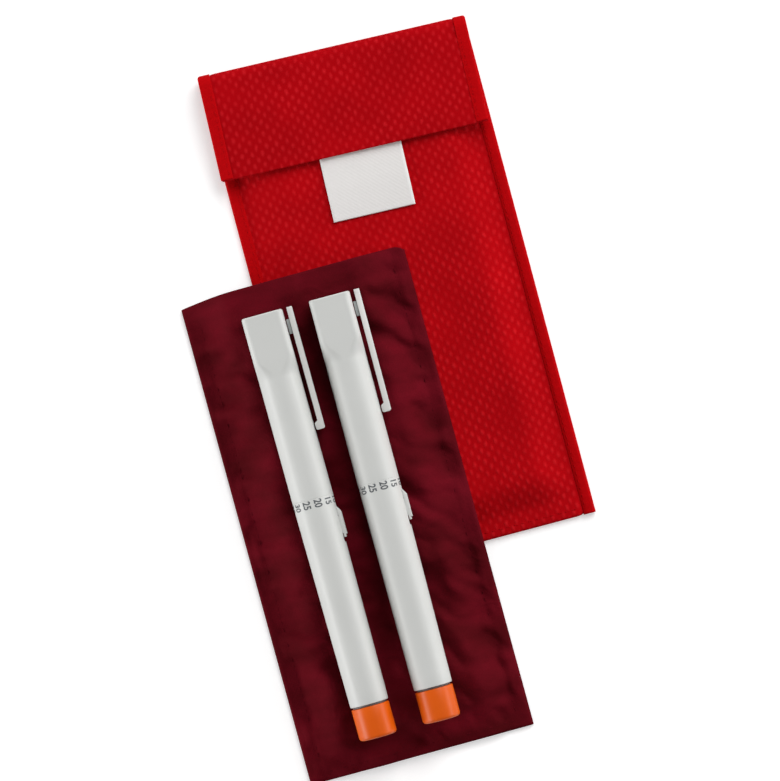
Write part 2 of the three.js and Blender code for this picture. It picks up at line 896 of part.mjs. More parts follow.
function pen(side, top, turn) {
  const parts = new THREE.Group();
  parts.position.set(top.x, top.y, penAxisZ);
  parts.rotation.z = turn;
  add(parts, `${side}_pen_cap`, cap(), paint.whitePlastic);
  add(parts, `${side}_pen_clip`, capClip(), paint.whitePlastic);
  add(parts, `${side}_pen_cartridge_holder`, cartridgeHolder(), paint.clearPlastic);
  add(parts, `${side}_pen_cartridge`, cartridge(), paint.glass);
  add(parts, `${side}_pen_cartridge_crimp`, crimpCap(), paint.steel);
  add(parts, `${side}_pen_plunger`, plunger(), paint.rubber);
  add(parts, `${side}_pen_barrel`, barrel(), paint.whitePlastic);
  add(parts, `${side}_pen_release_slider`, releaseSlider(), paint.whitePlastic);
  add(parts, `${side}_pen_guide_nut`, guideNut(), paint.greyPlastic);
  add(parts, `${side}_pen_drive_spring`, driveSpring(), paint.steel);
  add(parts, `${side}_pen_piston_rod`, pistonRod(), paint.greyPlastic);
  add(parts, `${side}_pen_selector_collar`, selectorCollar(), paint.greyPlastic);
  add(parts, `${side}_pen_dose_selector`, doseSelector(), paint.orangePlastic);
  return parts;
}

group.add(pen('left', leftPenTop, leftPenTurn));
group.add(pen('right', rightPenTop, rightPenTurn));

export default group;
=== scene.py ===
# The insulin cooling case as photographed from straight above: a red cloth wallet with its flap
# closed, the maroon inner pouch over its lower left, and two injection pens on the pouch.
# Lengths are millimetres in the part's frame until a piece is finished, which makes them metres.
import math

import bmesh
import bpy
from mathutils import Matrix, Vector, noise


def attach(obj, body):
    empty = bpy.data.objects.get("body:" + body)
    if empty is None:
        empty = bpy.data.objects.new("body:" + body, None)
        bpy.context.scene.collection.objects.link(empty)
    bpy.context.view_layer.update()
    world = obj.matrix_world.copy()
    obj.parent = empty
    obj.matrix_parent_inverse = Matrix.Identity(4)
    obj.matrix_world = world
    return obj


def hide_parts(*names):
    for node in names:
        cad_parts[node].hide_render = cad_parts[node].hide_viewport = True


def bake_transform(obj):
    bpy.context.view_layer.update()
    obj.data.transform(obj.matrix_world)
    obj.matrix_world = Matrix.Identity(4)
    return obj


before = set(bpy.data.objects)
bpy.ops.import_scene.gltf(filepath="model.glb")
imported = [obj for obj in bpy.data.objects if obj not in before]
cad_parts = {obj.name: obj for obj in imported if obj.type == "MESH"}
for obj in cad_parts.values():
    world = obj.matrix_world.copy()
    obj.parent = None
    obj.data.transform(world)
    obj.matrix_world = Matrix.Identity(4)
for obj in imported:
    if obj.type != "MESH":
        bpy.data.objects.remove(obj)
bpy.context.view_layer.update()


# Camera. The photograph looks straight down with the wallet leaning to the left, so the camera
# is rolled by the same angle. It is far off, because the photograph shows no perspective.
camera_height = 2.4
cloth_height = 0.006
picture_width = 0.2886
wallet_lean = math.radians(14.9)


def put_in_scene(name, data):
    """Makes an object of its data and links it to the scene."""
    made = bpy.data.objects.new(name, data)
    bpy.context.scene.collection.objects.link(made)
    return made


camera = put_in_scene("camera", bpy.data.cameras.new("camera"))
camera.data.sensor_width = 36
camera.data.lens = camera.data.sensor_width * (camera_height - cloth_height) / picture_width
camera.data.clip_end = 20
camera.location = (-0.0114, -0.03206, camera_height)
camera.rotation_euler = (0, 0, -wallet_lean)
bpy.context.scene.camera = camera
bpy.context.scene.view_settings.view_transform = "Standard"


# Light. A large soft lamp at the picture's top right casts the short shadows to the lower left,
# and two long low soft boxes beside the pens draw the pale bands along both sides of them.
lamps = {
    "key": ((1.32, 1.74, 1.81), (2.1, 2.1), 66),
    "left_box": ((-1.3, -0.1, 0.26), (1.6, 0.49), 15.5),
    "right_box": ((1.25, -0.1, 0.41), (1.6, 0.49), 8.3),
}
lamp_aim = Vector((-0.01, -0.03, 0))
for lamp_name, (lamp_spot, (long, high), power) in lamps.items():
    lamp = put_in_scene(lamp_name, bpy.data.lights.new(lamp_name, "AREA"))
    lamp.data.shape = "RECTANGLE"
    lamp.data.size, lamp.data.size_y = long, high
    lamp.data.energy = power
    lamp.location = lamp_spot
    lamp.rotation_euler = (lamp_aim - lamp.location).to_track_quat("-Z", "Y").to_euler()


# Room. White behind everything and in what is clear; dimmer in what shines and dimmer still where
# it lights the object, so that the lamps shape it.
room_in_gloss = 0.32
room_as_light = 0.23


def colour(sheet_hex):
    """An sRGB hex colour as linear red, green, blue and alpha."""
    parts = [int(sheet_hex[k : k + 2], 16) / 255 for k in (0, 2, 4)]
    return (*(p / 12.92 if p <= 0.04045 else ((p + 0.055) / 1.055) ** 2.4 for p in parts), 1)


def set_inputs(node, inputs):
    """Gives each input a value, or links it to a socket or to another node's first output."""
    for key, value in inputs.items():
        if isinstance(value, bpy.types.Node):
            value = value.outputs[0]
        if isinstance(value, bpy.types.NodeSocket):
            node.id_data.links.new(value, node.inputs[key])
        else:
            node.inputs[key].default_value = value


def add_node(tree, kind, inputs=(), **settings):
    """Adds a node with its settings and its inputs."""
    made = tree.nodes.new("ShaderNode" + kind)
    for key, value in settings.items():
        setattr(made, key, value)
    set_inputs(made, dict(inputs))
    return made


room = bpy.data.worlds.new("room")
bpy.context.scene.world = room
room.use_nodes = True
tree = room.node_tree
tree.nodes.clear()
rays = add_node(tree, "LightPath").outputs
straight = {0: rays["Is Camera Ray"], 1: rays["Is Transmission Ray"]}
seen = add_node(tree, "Math", straight, operation="MAXIMUM")
glossy = add_node(tree, "Math", {0: rays["Is Glossy Ray"], 1: room_in_gloss}, operation="MULTIPLY")
shown = add_node(tree, "Math", {0: seen, 1: glossy}, operation="MAXIMUM")
strength = add_node(tree, "Math", {0: shown, 1: room_as_light}, operation="MAXIMUM")
sky = add_node(tree, "Background", {"Color": colour("ffffff"), "Strength": strength})
add_node(tree, "OutputWorld", {"Surface": sky})


# Table. Matt white card, as plain as the photograph's cut-out background; it keeps the shadows
# and glows a little to the camera, so that it ends in the same white as the room.
table_half = 3
card_glow = 0.4
table_bm = bmesh.new()
bmesh.ops.create_grid(table_bm, x_segments=4, y_segments=4, size=table_half)
table = put_in_scene("table", bpy.data.meshes.new("table"))
table_bm.to_mesh(table.data)
table_bm.free()
card = bpy.data.materials.new("white_card")
card.use_nodes = True
tree = card.node_tree
tree.nodes.clear()
rays = add_node(tree, "LightPath").outputs
matt = add_node(tree, "BsdfDiffuse", {"Color": colour("ececec")})
glow = add_node(tree, "Math", {0: rays["Is Camera Ray"], 1: card_glow}, operation="MULTIPLY")
lift = add_node(tree, "Emission", {"Color": colour("ffffff"), "Strength": glow})
both = add_node(tree, "AddShader", {0: matt, 1: lift})
add_node(tree, "OutputMaterial", {"Surface": both})
table.data.materials.append(card)


# Wallet cloth: one long piece of dobby-woven polyester makes the back, runs round the fold and
# comes back as the flap, whose free edge is turned under and stitched as a hem.
wallet_half = 50.25
back_start = -94.4
flap_reach = 35.4
flap_hem_depth = 7
flap_rise, flap_waver = 0.14, 0.2
flap_belly = 0.22
corner_droop = 1.2
edge_lift = 0.45
cloth_ripple = 0.12
fold_axis = 92.5
fold_turn = -1.8
fold_radius = 3.9
hem_radius = 0.33
hem_bulge = 0.3
cloth_thickness = 0.5
tape_inner = 46.15
flap_cloth_z = 7.75
back_cloth_z = 0.25
fold_arc = math.pi * fold_radius
flap_begin = fold_axis + fold_arc
flap_edge = flap_begin + flap_reach
hem_arc = math.pi * hem_radius


def laid_at(x, y, z, turn):
    """A piece's place: where its origin lies, and its turn in degrees."""
    return Matrix.Translation((x, y, z)) @ Matrix.Rotation(math.radians(turn), 4, "Z")


def smooth(value):
    """0 below 0, 1 above 1, and an even curve between them."""
    share = min(max(value, 0), 1)
    return share * share * (3 - 2 * share)


def spread(start, end, steps):
    return [start + (end - start) * k / steps for k in range(steps + 1)]


def run_on(start, *legs):
    """Stations from start on; each leg has the place where it ends and its number of steps."""
    stations = [start]
    for end, steps in legs:
        stations += spread(stations[-1], end, steps)[1:]
    return stations


def drift(x, y, size, seed):
    """Slow, smooth unevenness from -1 to 1 over about size millimetres."""
    return noise.noise(Vector((x / size, y / size, seed)))


def lay_grid(columns, rows, place, sew=1e-3):
    """A grid of faces with every corner put where place(column, row) says. Corners that meet
    are sewn together, and each face's corners keep their column and row as UV in metres."""
    bm = bmesh.new()
    across, along = len(columns) - 1, len(rows) - 1
    bmesh.ops.create_grid(bm, x_segments=across, y_segments=along, size=0.5)
    uv = bm.loops.layers.uv.new("cloth")
    spots = {}
    for vert in bm.verts:
        column = columns[round((vert.co.x + 0.5) * across)]
        spots[vert] = (column, rows[round((vert.co.y + 0.5) * along)])
    for face in bm.faces:
        for loop in face.loops:
            loop[uv].uv = [value / 1000 for value in spots[loop.vert]]
    for vert, spot in spots.items():
        vert.co = place(*spot)
    bmesh.ops.remove_doubles(bm, verts=bm.verts, dist=sew)
    return bm


def finish_piece(name, bm, *materials, sharp=180, place=None):
    """Makes an object of the bmesh, in metres, with its place in its mesh."""
    bm.transform(Matrix.Scale(0.001, 4) @ (place or Matrix()))
    mesh = bpy.data.meshes.new(name)
    bm.to_mesh(mesh)
    bm.free()
    mesh.shade_smooth()
    if sharp < 180:
        mesh.set_sharp_from_angle(angle=math.radians(sharp))
    for material in materials:
        mesh.materials.append(material)
    return put_in_scene(name, mesh)


def outward(bm):
    """Turns the faces of a closed shell outwards."""
    bmesh.ops.recalc_face_normals(bm, faces=bm.faces)
    return bm


def thicken(piece, thickness):
    """Gives a sheet its cloth thickness, half to each side."""
    wall = piece.modifiers.new("thickness", "SOLIDIFY")
    wall.thickness = thickness / 1000
    wall.offset = 0


def flap_lift(x, y):
    """How far the flap's cloth stands off its flat place, in the flap's own frame."""
    free = smooth(-y / 12)
    belly = flap_belly * math.cos(x / 50 * math.pi * 0.5) * smooth(-y / 30)
    droop = corner_droop * smooth((abs(x) - 28) / 26) * smooth(-y / 25)
    return free * (flap_rise + flap_waver * drift(x, y, 26, 3.1)) + belly - droop


def edge_share(x):
    """1 under the side tapes, 0 on the open cloth."""
    return smooth((abs(x) - tape_inner + 1.6) / 1.6)


def slanted(x, t):
    """The fold isn't quite square to the wallet, so what ends at it slants."""
    return t + math.tan(math.radians(fold_turn)) * x * smooth((t - 60) / 31)


def wallet_cloth_point(x, t):
    """The cloth's middle surface; t runs from the back's lower end over the fold to the hem."""
    edge = edge_share(x)
    low = back_cloth_z + edge_lift * edge
    radius = (flap_cloth_z - low) / 2
    if t <= fold_axis:
        ripple = cloth_ripple * (1 + drift(x, t, 30, 7.7)) * (1 - edge)
        near = smooth((fold_axis - t) / 12) * smooth((t - back_start) / 10)
        return Vector((x, slanted(x, t), low + ripple * near))
    if t <= flap_begin:
        angle = (t - fold_axis) / fold_arc * math.pi
        local = Vector((x, radius * math.sin(angle), low + radius * (1 - math.cos(angle))))
    elif t <= flap_edge:
        y = flap_begin - t
        local = Vector((x, y, flap_cloth_z + flap_lift(x, y)))
    else:
        past = t - flap_edge
        angle = min(past / hem_arc, 1) * math.pi
        y = max(past - hem_arc, 0) - flap_reach
        turned_in = hem_radius * (1 - 0.5 * edge) * (1 - math.cos(angle))
        z = flap_cloth_z + flap_lift(x, y) - turned_in
        local = Vector((x, y - hem_bulge * math.sin(angle), z))
    return flap_place @ local


def new_material(name, sockets):
    """A material, its tree and its shader, with the values that are even all over it."""
    material = bpy.data.materials.new(name)
    material.use_nodes = True
    shader = material.node_tree.nodes["Principled BSDF"]
    set_inputs(shader, sockets)
    return material, material.node_tree, shader


def dress(shader, pattern, dark, light, relief):
    """Lets a pattern take the surface from dark to light, and gives it its small relief."""
    tones = {"Factor": pattern, 6: colour(dark), 7: colour(light)}
    tone = add_node(shader.id_data, "Mix", tones, data_type="RGBA")
    bump = add_node(shader.id_data, "Bump", relief)
    set_inputs(shader, {"Base Color": tone.outputs[2], "Normal": bump})


def dobby_cloth(name, ground, figure, lattice_phase=(0, 0)):
    """Dobby-woven polyester: a dull close weave whose floats show as paler grains of 0.8 by
    1.3 mm, in a centred lattice of 3.86 by 4.4 mm, worn here and there. It has hardly any gloss."""
    per_cell = (1 / 0.00386, 1 / 0.0044, 0)
    per_grain = (3.86 / 0.8, 4.4 / 1.3, 0)
    dull = {"Roughness": 0.85, "Specular IOR Level": 0.02}
    fuzz = {"Sheen Weight": 0.15, "Sheen Roughness": 0.45, "Sheen Tint": colour("c00008")}
    material, tree, shader = new_material(name, dull | fuzz)
    uv = add_node(tree, "UVMap", uv_map="cloth")
    wander = add_node(tree, "TexNoise", {"Vector": uv, "Scale": 240}).outputs["Color"]
    shift = add_node(tree, "VectorMath", {0: wander, 1: (0.0012, 0.0014, 0)}, operation="MULTIPLY")
    shifted = add_node(tree, "VectorMath", {0: uv, 1: shift}, operation="ADD")
    grains = []
    for half in (0, 0.5):
        phase = (half + lattice_phase[0], half + lattice_phase[1], 0)
        placed = {0: shifted, 1: per_cell, 2: phase}
        cell = add_node(tree, "VectorMath", placed, operation="MULTIPLY_ADD")
        inside = add_node(tree, "VectorMath", {0: cell}, operation="FRACTION")
        centred = add_node(tree, "VectorMath", {0: inside, 1: (0.5, 0.5, 0)}, operation="SUBTRACT")
        sized = add_node(tree, "VectorMath", {0: centred, 1: per_grain}, operation="MULTIPLY")
        reach = add_node(tree, "VectorMath", {0: sized}, operation="LENGTH")
        grains.append(reach.outputs["Value"])
    nearest = add_node(tree, "Math", {0: grains[0], 1: grains[1]}, operation="MINIMUM")
    fall = {"Value": nearest, "From Min": 0.1, "From Max": 1.3, "To Min": 1, "To Max": 0}
    grain = add_node(tree, "MapRange", fall, interpolation_type="SMOOTHSTEP")
    patches = add_node(tree, "TexNoise", {"Vector": uv, "Scale": 85, "Detail": 2})
    wear = {"Value": patches, "From Min": 0.3, "From Max": 0.6, "To Min": 0.4}
    worn = add_node(tree, "MapRange", wear)
    seen_grain = add_node(tree, "Math", {0: grain, 1: worn}, operation="MULTIPLY")
    fibres = {"Vector": uv, "Scale": 2200, "Detail": 2, "Roughness": 0.6}
    threads = add_node(tree, "TexNoise", fibres)
    fading = {"Value": threads, "From Min": 0.2, "From Max": 0.8, "To Min": 0.45}
    faded = add_node(tree, "MapRange", fading)
    amount = add_node(tree, "Math", {0: seen_grain, 1: faded}, operation="MULTIPLY")
    tones = {"Factor": amount, 6: colour(ground), 7: colour(figure)}
    woven = add_node(tree, "Mix", tones, data_type="RGBA").outputs[2]
    clouds = add_node(tree, "TexNoise", {"Vector": uv, "Scale": 34, "Detail": 3})
    shades = {"Value": clouds, "From Min": 0.3, "From Max": 0.7, "To Min": 0.88, "To Max": 1.1}
    level = add_node(tree, "MapRange", shades)
    shaded = add_node(tree, "VectorMath", {0: woven, "Scale": level}, operation="SCALE")
    rise = {0: threads, 1: 0.35, 2: seen_grain}
    height = add_node(tree, "Math", rise, operation="MULTIPLY_ADD")
    bump = add_node(tree, "Bump", {"Height": height, "Distance": 0.00016, "Strength": 0.8})
    set_inputs(shader, {"Base Color": shaded, "Normal": bump})
    return material


flap_place = laid_at(0, fold_axis, 0, fold_turn)
hem_begin = flap_edge + hem_arc
cloth_columns = run_on(-wallet_half, (-44, 6), (44, 46), (wallet_half, 6))
back_legs = ((60, 70), (fold_axis, 20))
flap_legs = ((flap_begin, 16), (flap_edge, 24), (hem_begin, 6), (hem_begin + flap_hem_depth, 4))
cloth_rows = run_on(back_start, *back_legs, *flap_legs)
red_cloth = dobby_cloth("red_dobby_polyester", "aa050e", "c91c24")
wallet_cloth_bm = lay_grid(cloth_columns, cloth_rows, wallet_cloth_point)
wallet_cloth = finish_piece("wallet_back_and_flap_cloth", wallet_cloth_bm, red_cloth)
thicken(wallet_cloth, cloth_thickness)
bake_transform(wallet_cloth)
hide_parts("wallet_back_panel", "flap_fold", "flap_panel", "flap_hem")


# Wallet front: the same cloth turned up at the bottom, standing off the back over the pocket
# and sewn down to it along both sides.
front_flat_z = 5.8
front_edge_z = 1.7
slope_width = 14
slope_foot_y = -90.4
pocket_ease = 0.2
mouth_y = 85.5
turn_z = 2.15
turn_y = -95
turn_run = 4
pinch_below = 0.5
pinch_above = 0.55


def front_top(x, y):
    """Height of the front cloth's outer surface. Under the pouch it doesn't ease down."""
    across = smooth((tape_inner - abs(x)) / slope_width)
    along = smooth((y - slope_foot_y) / slope_width)
    foot = front_edge_z + (turn_z - front_edge_z) * smooth((-86 - y) / 5) * (1 - edge_share(x))
    covered = smooth((40 - y) / 8) * smooth((12 - x) / 10)
    ease = pocket_ease * (0.5 + 0.5 * drift(x, y, 24, 11.3)) * (1 - covered)
    return foot + (front_flat_z - foot - ease) * across * along


def front_cloth_point(x, t):
    """t runs from the turned-under end, round the bottom edge and up the front to the mouth."""
    edge = edge_share(x)
    low = back_cloth_z + pinch_below * edge
    top = turn_z - cloth_thickness / 2 - pinch_above * edge
    radius = (top - low) / 2
    lowest = turn_y + pinch_below * edge + cloth_thickness / 2 + radius
    if t <= -turn_run:
        return Vector((x, lowest - (t + turn_run), low))
    if t <= 0:
        angle = (t + turn_run) / turn_run * math.pi
        z = (low + top) / 2 - radius * math.cos(angle)
        return Vector((x, lowest - radius * math.sin(angle), z))
    y = lowest + t
    return Vector((x, y, front_top(x, y) - cloth_thickness / 2))


front_reach = mouth_y - turn_y - 1.2
front_rows = [-7.5, -5.5] + run_on(-turn_run, (0, 8), (24, 20), (front_reach, 72))
front_bm = lay_grid(cloth_columns, front_rows, front_cloth_point)
# The front is the same cloth as the back and flap, given lighter colours: painted light.
front_red_painted_lighter = dobby_cloth("red_dobby_front_painted_lighter", "b1060f", "cc1c23", (0.3, 0.15))
front_cloth = finish_piece("wallet_front_cloth", front_bm, front_red_painted_lighter)
thicken(front_cloth, cloth_thickness)
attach(front_cloth, "wallet")
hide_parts("wallet_front_panel", "wallet_bottom_fold")


# Side tapes: a smooth twill tape is folded over the raw edges, stitched through all layers on
# the wallet, and goes on round the fold and along the flap in one run.
tape_outer = 50.75
tape_width = 4.6
tape_turn = 0.9
tape_span = 12
tape_sheet = 0.32
tape_bulge = 0.72
tape_swell = 0.05
body_tape_low = 0.175
body_tape_top = 2.2
body_seam_sink = 0.42
back_tape_height = 1.19
fold_tape_half = 0.51
fold_tape_radius = 3.57
fold_middle_z = 4.25
flap_tape_low = 7.31
flap_tape_top = 8.33
flap_tape_drop = 0.23
flap_seam_sink = 0.3
stitch_pitch = 2.8


def tape_section(share, low, high):
    """Across the tape: 0 is its inner edge below, 1 its inner edge above. Depth is from the
    outer edge inwards."""
    leg = tape_width - tape_turn
    bend = math.pi * 0.5
    run = share * (2 * leg + bend)
    if run <= leg:
        return tape_width - run, low
    if run <= leg + bend:
        angle = (run - leg) / bend * math.pi
        z = (low + high) / 2 - (high - low) / 2 * math.cos(angle)
        return tape_turn - tape_bulge * math.sin(angle), z
    return tape_turn + (run - leg - bend), high


def tape_relief(depth, t, sunk):
    """The tape swells between stitches, and sinks along them by what is asked for."""
    swell = tape_swell * math.sin(t * 2 * math.pi / stitch_pitch) * smooth(depth / 2)
    return swell - sunk * smooth((depth - 3) / 1.6)


def tape_point(side, share, t):
    """t runs from the bottom edge up the wallet, round the fold and down the flap."""
    if t <= fold_axis:
        rise = smooth((t - mouth_y + 1) / 5)
        high = (body_tape_top - body_tape_low) * (1 - rise) + back_tape_height * rise
        depth, z = tape_section(share, body_tape_low, high)
        x = side * (tape_outer - depth)
        relief = tape_relief(depth, t, body_seam_sink * (1 - rise)) if z > 1 else 0
        return Vector((x, slanted(x, t), z + relief))
    if t <= flap_begin:
        angle = (t - fold_axis) / fold_arc * math.pi
        depth, level = tape_section(share, -fold_tape_half, fold_tape_half)
        radius = fold_tape_radius - level
        y, z = radius * math.sin(angle), fold_middle_z - radius * math.cos(angle)
        return flap_place @ Vector((side * (tape_outer - depth), y, z))
    y = flap_begin - t
    clear = smooth(-y / 5)
    depth, z = tape_section(1 - share, flap_tape_low - flap_tape_drop * clear, flap_tape_top)
    x = side * (tape_outer - depth)
    relief = tape_relief(depth, t, flap_seam_sink * clear) if z > 7.6 else 0
    return flap_place @ Vector((x, y, z + flap_lift(x, y) + relief))


def twill_tape(name, ground, ridge):
    """Polyester twill tape: fine slanting ribs, pressed smooth and a little brighter than the
    cloth. Ribs are drawn 0.9 mm apart, coarser than the real ones, so that they show."""
    dull = {"Roughness": 0.7, "Specular IOR Level": 0.02}
    fuzz = {"Sheen Weight": 0.1, "Sheen Tint": colour("c00008")}
    material, tree, shader = new_material(name, dull | fuzz)
    uv = add_node(tree, "UVMap", uv_map="cloth")
    axes = add_node(tree, "SeparateXYZ", {0: uv}).outputs
    slant = add_node(tree, "Math", {0: axes["X"], 1: axes["Y"]}, operation="ADD")
    turns = add_node(tree, "Math", {0: slant, 1: 2 * math.pi / 0.0009}, operation="MULTIPLY")
    rib = add_node(tree, "Math", {0: turns}, operation="SINE")
    tone = add_node(tree, "TexNoise", {"Vector": uv, "Scale": 90, "Detail": 4})
    relief = {"Height": rib, "Distance": 0.00006, "Strength": 0.5}
    dress(shader, tone, ground, ridge, relief)
    return material


red_tape = twill_tape("red_twill_tape", "b1040a", "be060d")
tape_rows = run_on(
    turn_y, (mouth_y, 260), (fold_axis, 8), (flap_begin, 20), (flap_edge + 0.1, 52)
)
for side_name, side in (("left", -1), ("right", 1)):
    tape_bm = lay_grid(
        spread(0, tape_span, 18),
        tape_rows,
        lambda u, t, side=side: tape_point(side, u / tape_span, t),
    )
    tape = finish_piece(f"{side_name}_edge_tape", tape_bm, red_tape)
    thicken(tape, tape_sheet)
    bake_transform(tape)
    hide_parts(f"wallet_{side_name}_tape", f"flap_{side_name}_tape")


# Seam stitches: polyester thread, a row along each tape on the wallet and on the flap, and one
# above the flap's hem. Each stitch is a short thread that dips into the cloth at both ends.
tape_stitch_x = tape_outer - tape_width + 1.1
bottom_stitch_y = -92.2
bottom_stitch_end = 45
first_stitch_y = -92
flap_stitch_z = 8.45
hem_stitch_z = 8


def sew(bm, start, end, length=2.1, width=0.34, rise=0):
    """One stitch between two points, bedded in the cloth."""
    made = bmesh.ops.create_uvsphere(bm, u_segments=6, v_segments=5, radius=0.5)
    start, end = Vector(start), Vector(end)
    along = (end - start).normalized()
    across = Vector((0, 0, 1)).cross(along).normalized()
    middle = (start + end) / 2 + Vector((0, 0, rise))
    axes = [(*(along * length), 0), (*(across * width), 0), (0, 0, width, 0), (*middle, 1)]
    bmesh.ops.transform(bm, matrix=Matrix(axes).transposed(), verts=made["verts"])


def sew_row(bm, count, first, spot, **stitch):
    """A row of stitches: spot(v) is where the thread goes in, at first and then at each pitch."""
    for k in range(count):
        v = first + k * stitch_pitch
        sew(bm, spot(v), spot(v + stitch_pitch), **stitch)


def spun_thread(name, dark, light):
    """Spun polyester thread: two plies twisted together, dull, with a faint slanting twist."""
    material, tree, shader = new_material(name, {"Roughness": 0.85, "Specular IOR Level": 0.02})
    place = add_node(tree, "TexCoord").outputs["Object"]
    plies = {"Vector": place, "Scale": 700, "Distortion": 1.5}
    twist = add_node(tree, "TexWave", plies, bands_direction="DIAGONAL").outputs["Fac"]
    dress(shader, twist, dark, light, {"Height": twist, "Distance": 0.00005})
    return material


def flap_spot(x, y, z):
    return (x, y, z + flap_lift(x, y))


red_thread = spun_thread("red_spun_thread", "a4060d", "b80b13")
body_seams, flap_seams = bmesh.new(), bmesh.new()
body_count = int((mouth_y - first_stitch_y) / stitch_pitch)
flap_count = int((flap_reach - 2) / stitch_pitch)
cross_count = int(2 * bottom_stitch_end / stitch_pitch)
for x in (-tape_stitch_x, tape_stitch_x):
    sew_row(body_seams, body_count, first_stitch_y, lambda y, x=x: (x, y, body_tape_top - 0.07))
    sew_row(flap_seams, flap_count, 1 - flap_reach, lambda y, x=x: flap_spot(x, y, flap_stitch_z))
for k in range(cross_count):
    x = stitch_pitch * k - bottom_stitch_end
    z = front_top(x, bottom_stitch_y)
    sew(body_seams, (x, bottom_stitch_y, z), (x + stitch_pitch, bottom_stitch_y, z))
hem_stitch_y = flap_hem_depth - flap_reach - 1.2
sew_row(
    flap_seams, cross_count, -bottom_stitch_end,
    lambda x: flap_spot(x, hem_stitch_y, hem_stitch_z), rise=-0.09,
)
wallet_seams = finish_piece("wallet_seam_stitches", body_seams, red_thread)
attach(wallet_seams, "wallet")
flap_stitches = finish_piece("flap_seam_stitches", flap_seams, red_thread, place=flap_place)
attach(flap_stitches, "flap")


# Mouth hem: the front cloth's upper edge is bound with the same tape, folded over it from the
# pocket's inside to the outside, where the flap covers it.
hem_half = 45.6
hem_span = 14
hem_width = 6
hem_tape = 0.26
hem_tape_half = 0.43


def mouth_hem_point(x, run):
    depth, level = tape_section(run / hem_span, -hem_tape_half, hem_tape_half)
    back = hem_width - (tape_width - depth) * hem_width / tape_width
    z = front_top(x, mouth_y - back) - cloth_thickness / 2 + level * 0.98
    return Vector((x, mouth_y + 0.1 - back, z))


hem_bm = lay_grid(spread(-hem_half, hem_half, 60), spread(0, hem_span, 18), mouth_hem_point)
mouth_hem = finish_piece("wallet_mouth_hem_tape", hem_bm, red_tape)
thicken(mouth_hem, hem_tape)
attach(mouth_hem, "wallet")
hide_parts("wallet_mouth_hem")


# Touch fastener: a loop patch sewn on the front and a hook patch under the flap, both nylon: a
# fuzz of loops, and rows of small stiff heads that catch in it.
patch_half = 27
patch_edge = 9
patch_roll = 0.8
loop_depth = 13.9
loop_low, loop_top = 5.88, 6.42
hook_depth = 17
hook_low, hook_top = 7, 7.3
hook_columns, hook_rows = 34, 10
hook_side_margin, hook_end_margin = 2.2, 2
hook_middle_z = 6.86
hook_lower = patch_edge - flap_reach


def brushed_nylon(name, dark, light, pitch):
    """Knitted nylon pile: a soft fuzz of loops that scatters light, with painted shade in the
    depths between its loops.
    """
    dull = {"Roughness": 0.95, "Specular IOR Level": 0.1}
    fuzz = {"Sheen Weight": 0.5, "Sheen Tint": colour("d8474c")}
    material, tree, shader = new_material(name, dull | fuzz)
    place = add_node(tree, "TexCoord").outputs["Object"]
    loops = {"Vector": place, "Scale": 1000 / pitch, "Randomness": 0.8}
    pile = add_node(tree, "TexVoronoi", loops)
    falls = {"Value": pile, "From Max": 0.7, "To Min": 1, "To Max": 0}
    loop_height_and_painted_shade = add_node(tree, "MapRange", falls)
    # The same pattern gives the loops their relief and paints shade between them.
    dress(shader, loop_height_and_painted_shade, dark, light, {"Height": loop_height_and_painted_shade, "Distance": 0.0004})
    return material


def both_faces(depth, steps):
    """Rows over a pad's underside, which are below zero, and then over its top."""
    return spread(-depth, -0.001, steps) + spread(0.001, depth, steps)


def patch_point(low, high, lower, depth, x, row):
    """A flat pad with rolled edges."""
    rim = min(patch_half - abs(x), abs(row), depth - abs(row))
    half = (high - low) / 2 * math.sqrt(smooth((rim + 0.12) / patch_roll))
    return Vector((x, lower + abs(row), (low + high) / 2 + math.copysign(half, row)))


def loop_point(x, row):
    uneven = 0.04 * noise.noise(Vector((x, row, 2))) if row > 0 else 0
    spot = patch_point(loop_low, loop_top, fold_axis + hook_lower, loop_depth, x, row)
    return spot + Vector((0, 0, uneven))


def hook_point(x, row):
    spot = patch_point(hook_low, hook_top, hook_lower, hook_depth, x, row)
    return spot + Vector((0, 0, flap_lift(x, spot.y)))


loop_bm = lay_grid(
    spread(-patch_half, patch_half, 60), both_faces(loop_depth, 18), loop_point, sew=0.02
)
loop_pile = brushed_nylon("red_loop_pile", "5c060a", "960e15", 0.7)
loop_patch = finish_piece("wallet_loop_pile", loop_bm, loop_pile)
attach(loop_patch, "wallet")
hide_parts("wallet_loop_patch")

hook_bm = lay_grid(
    spread(-patch_half, patch_half, 54), both_faces(hook_depth, 20), hook_point, sew=0.02
)
hook_reach = patch_half - hook_side_margin
hook_first, hook_last = hook_lower + hook_end_margin, hook_lower + hook_depth - hook_end_margin
for x in spread(-hook_reach, hook_reach, hook_columns - 1):
    for y in spread(hook_first, hook_last, hook_rows - 1):
        made = bmesh.ops.create_cone(
            hook_bm, segments=5, radius1=0.09, radius2=0.2, depth=0.3, cap_ends=True
        )
        bmesh.ops.translate(hook_bm, verts=made["verts"], vec=flap_spot(x, y, hook_middle_z))
hook_nylon = brushed_nylon("red_hook_nylon", "4d0508", "8c0c12", 1.2)
hook_patch = finish_piece(
    "flap_hook_patch_pile", hook_bm, hook_nylon, sharp=50, place=flap_place
)
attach(hook_patch, "flap")
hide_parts("flap_hook_patch")


# Label: a white satin ribbon folded in two, its ends sewn under the flap's hem. It is blank.
# It hangs free below the hem, a little bowed and with its corners curled.
label_half = 15.45
label_middle = 1.9
label_top_y = -31.4
label_end_y = -59.6
label_span = 28
label_z = 6.5
label_turn = 0.012
label_free_y = -36.8
label_curl = 0.3
label_bow = 0.25
label_cloth = 0.16


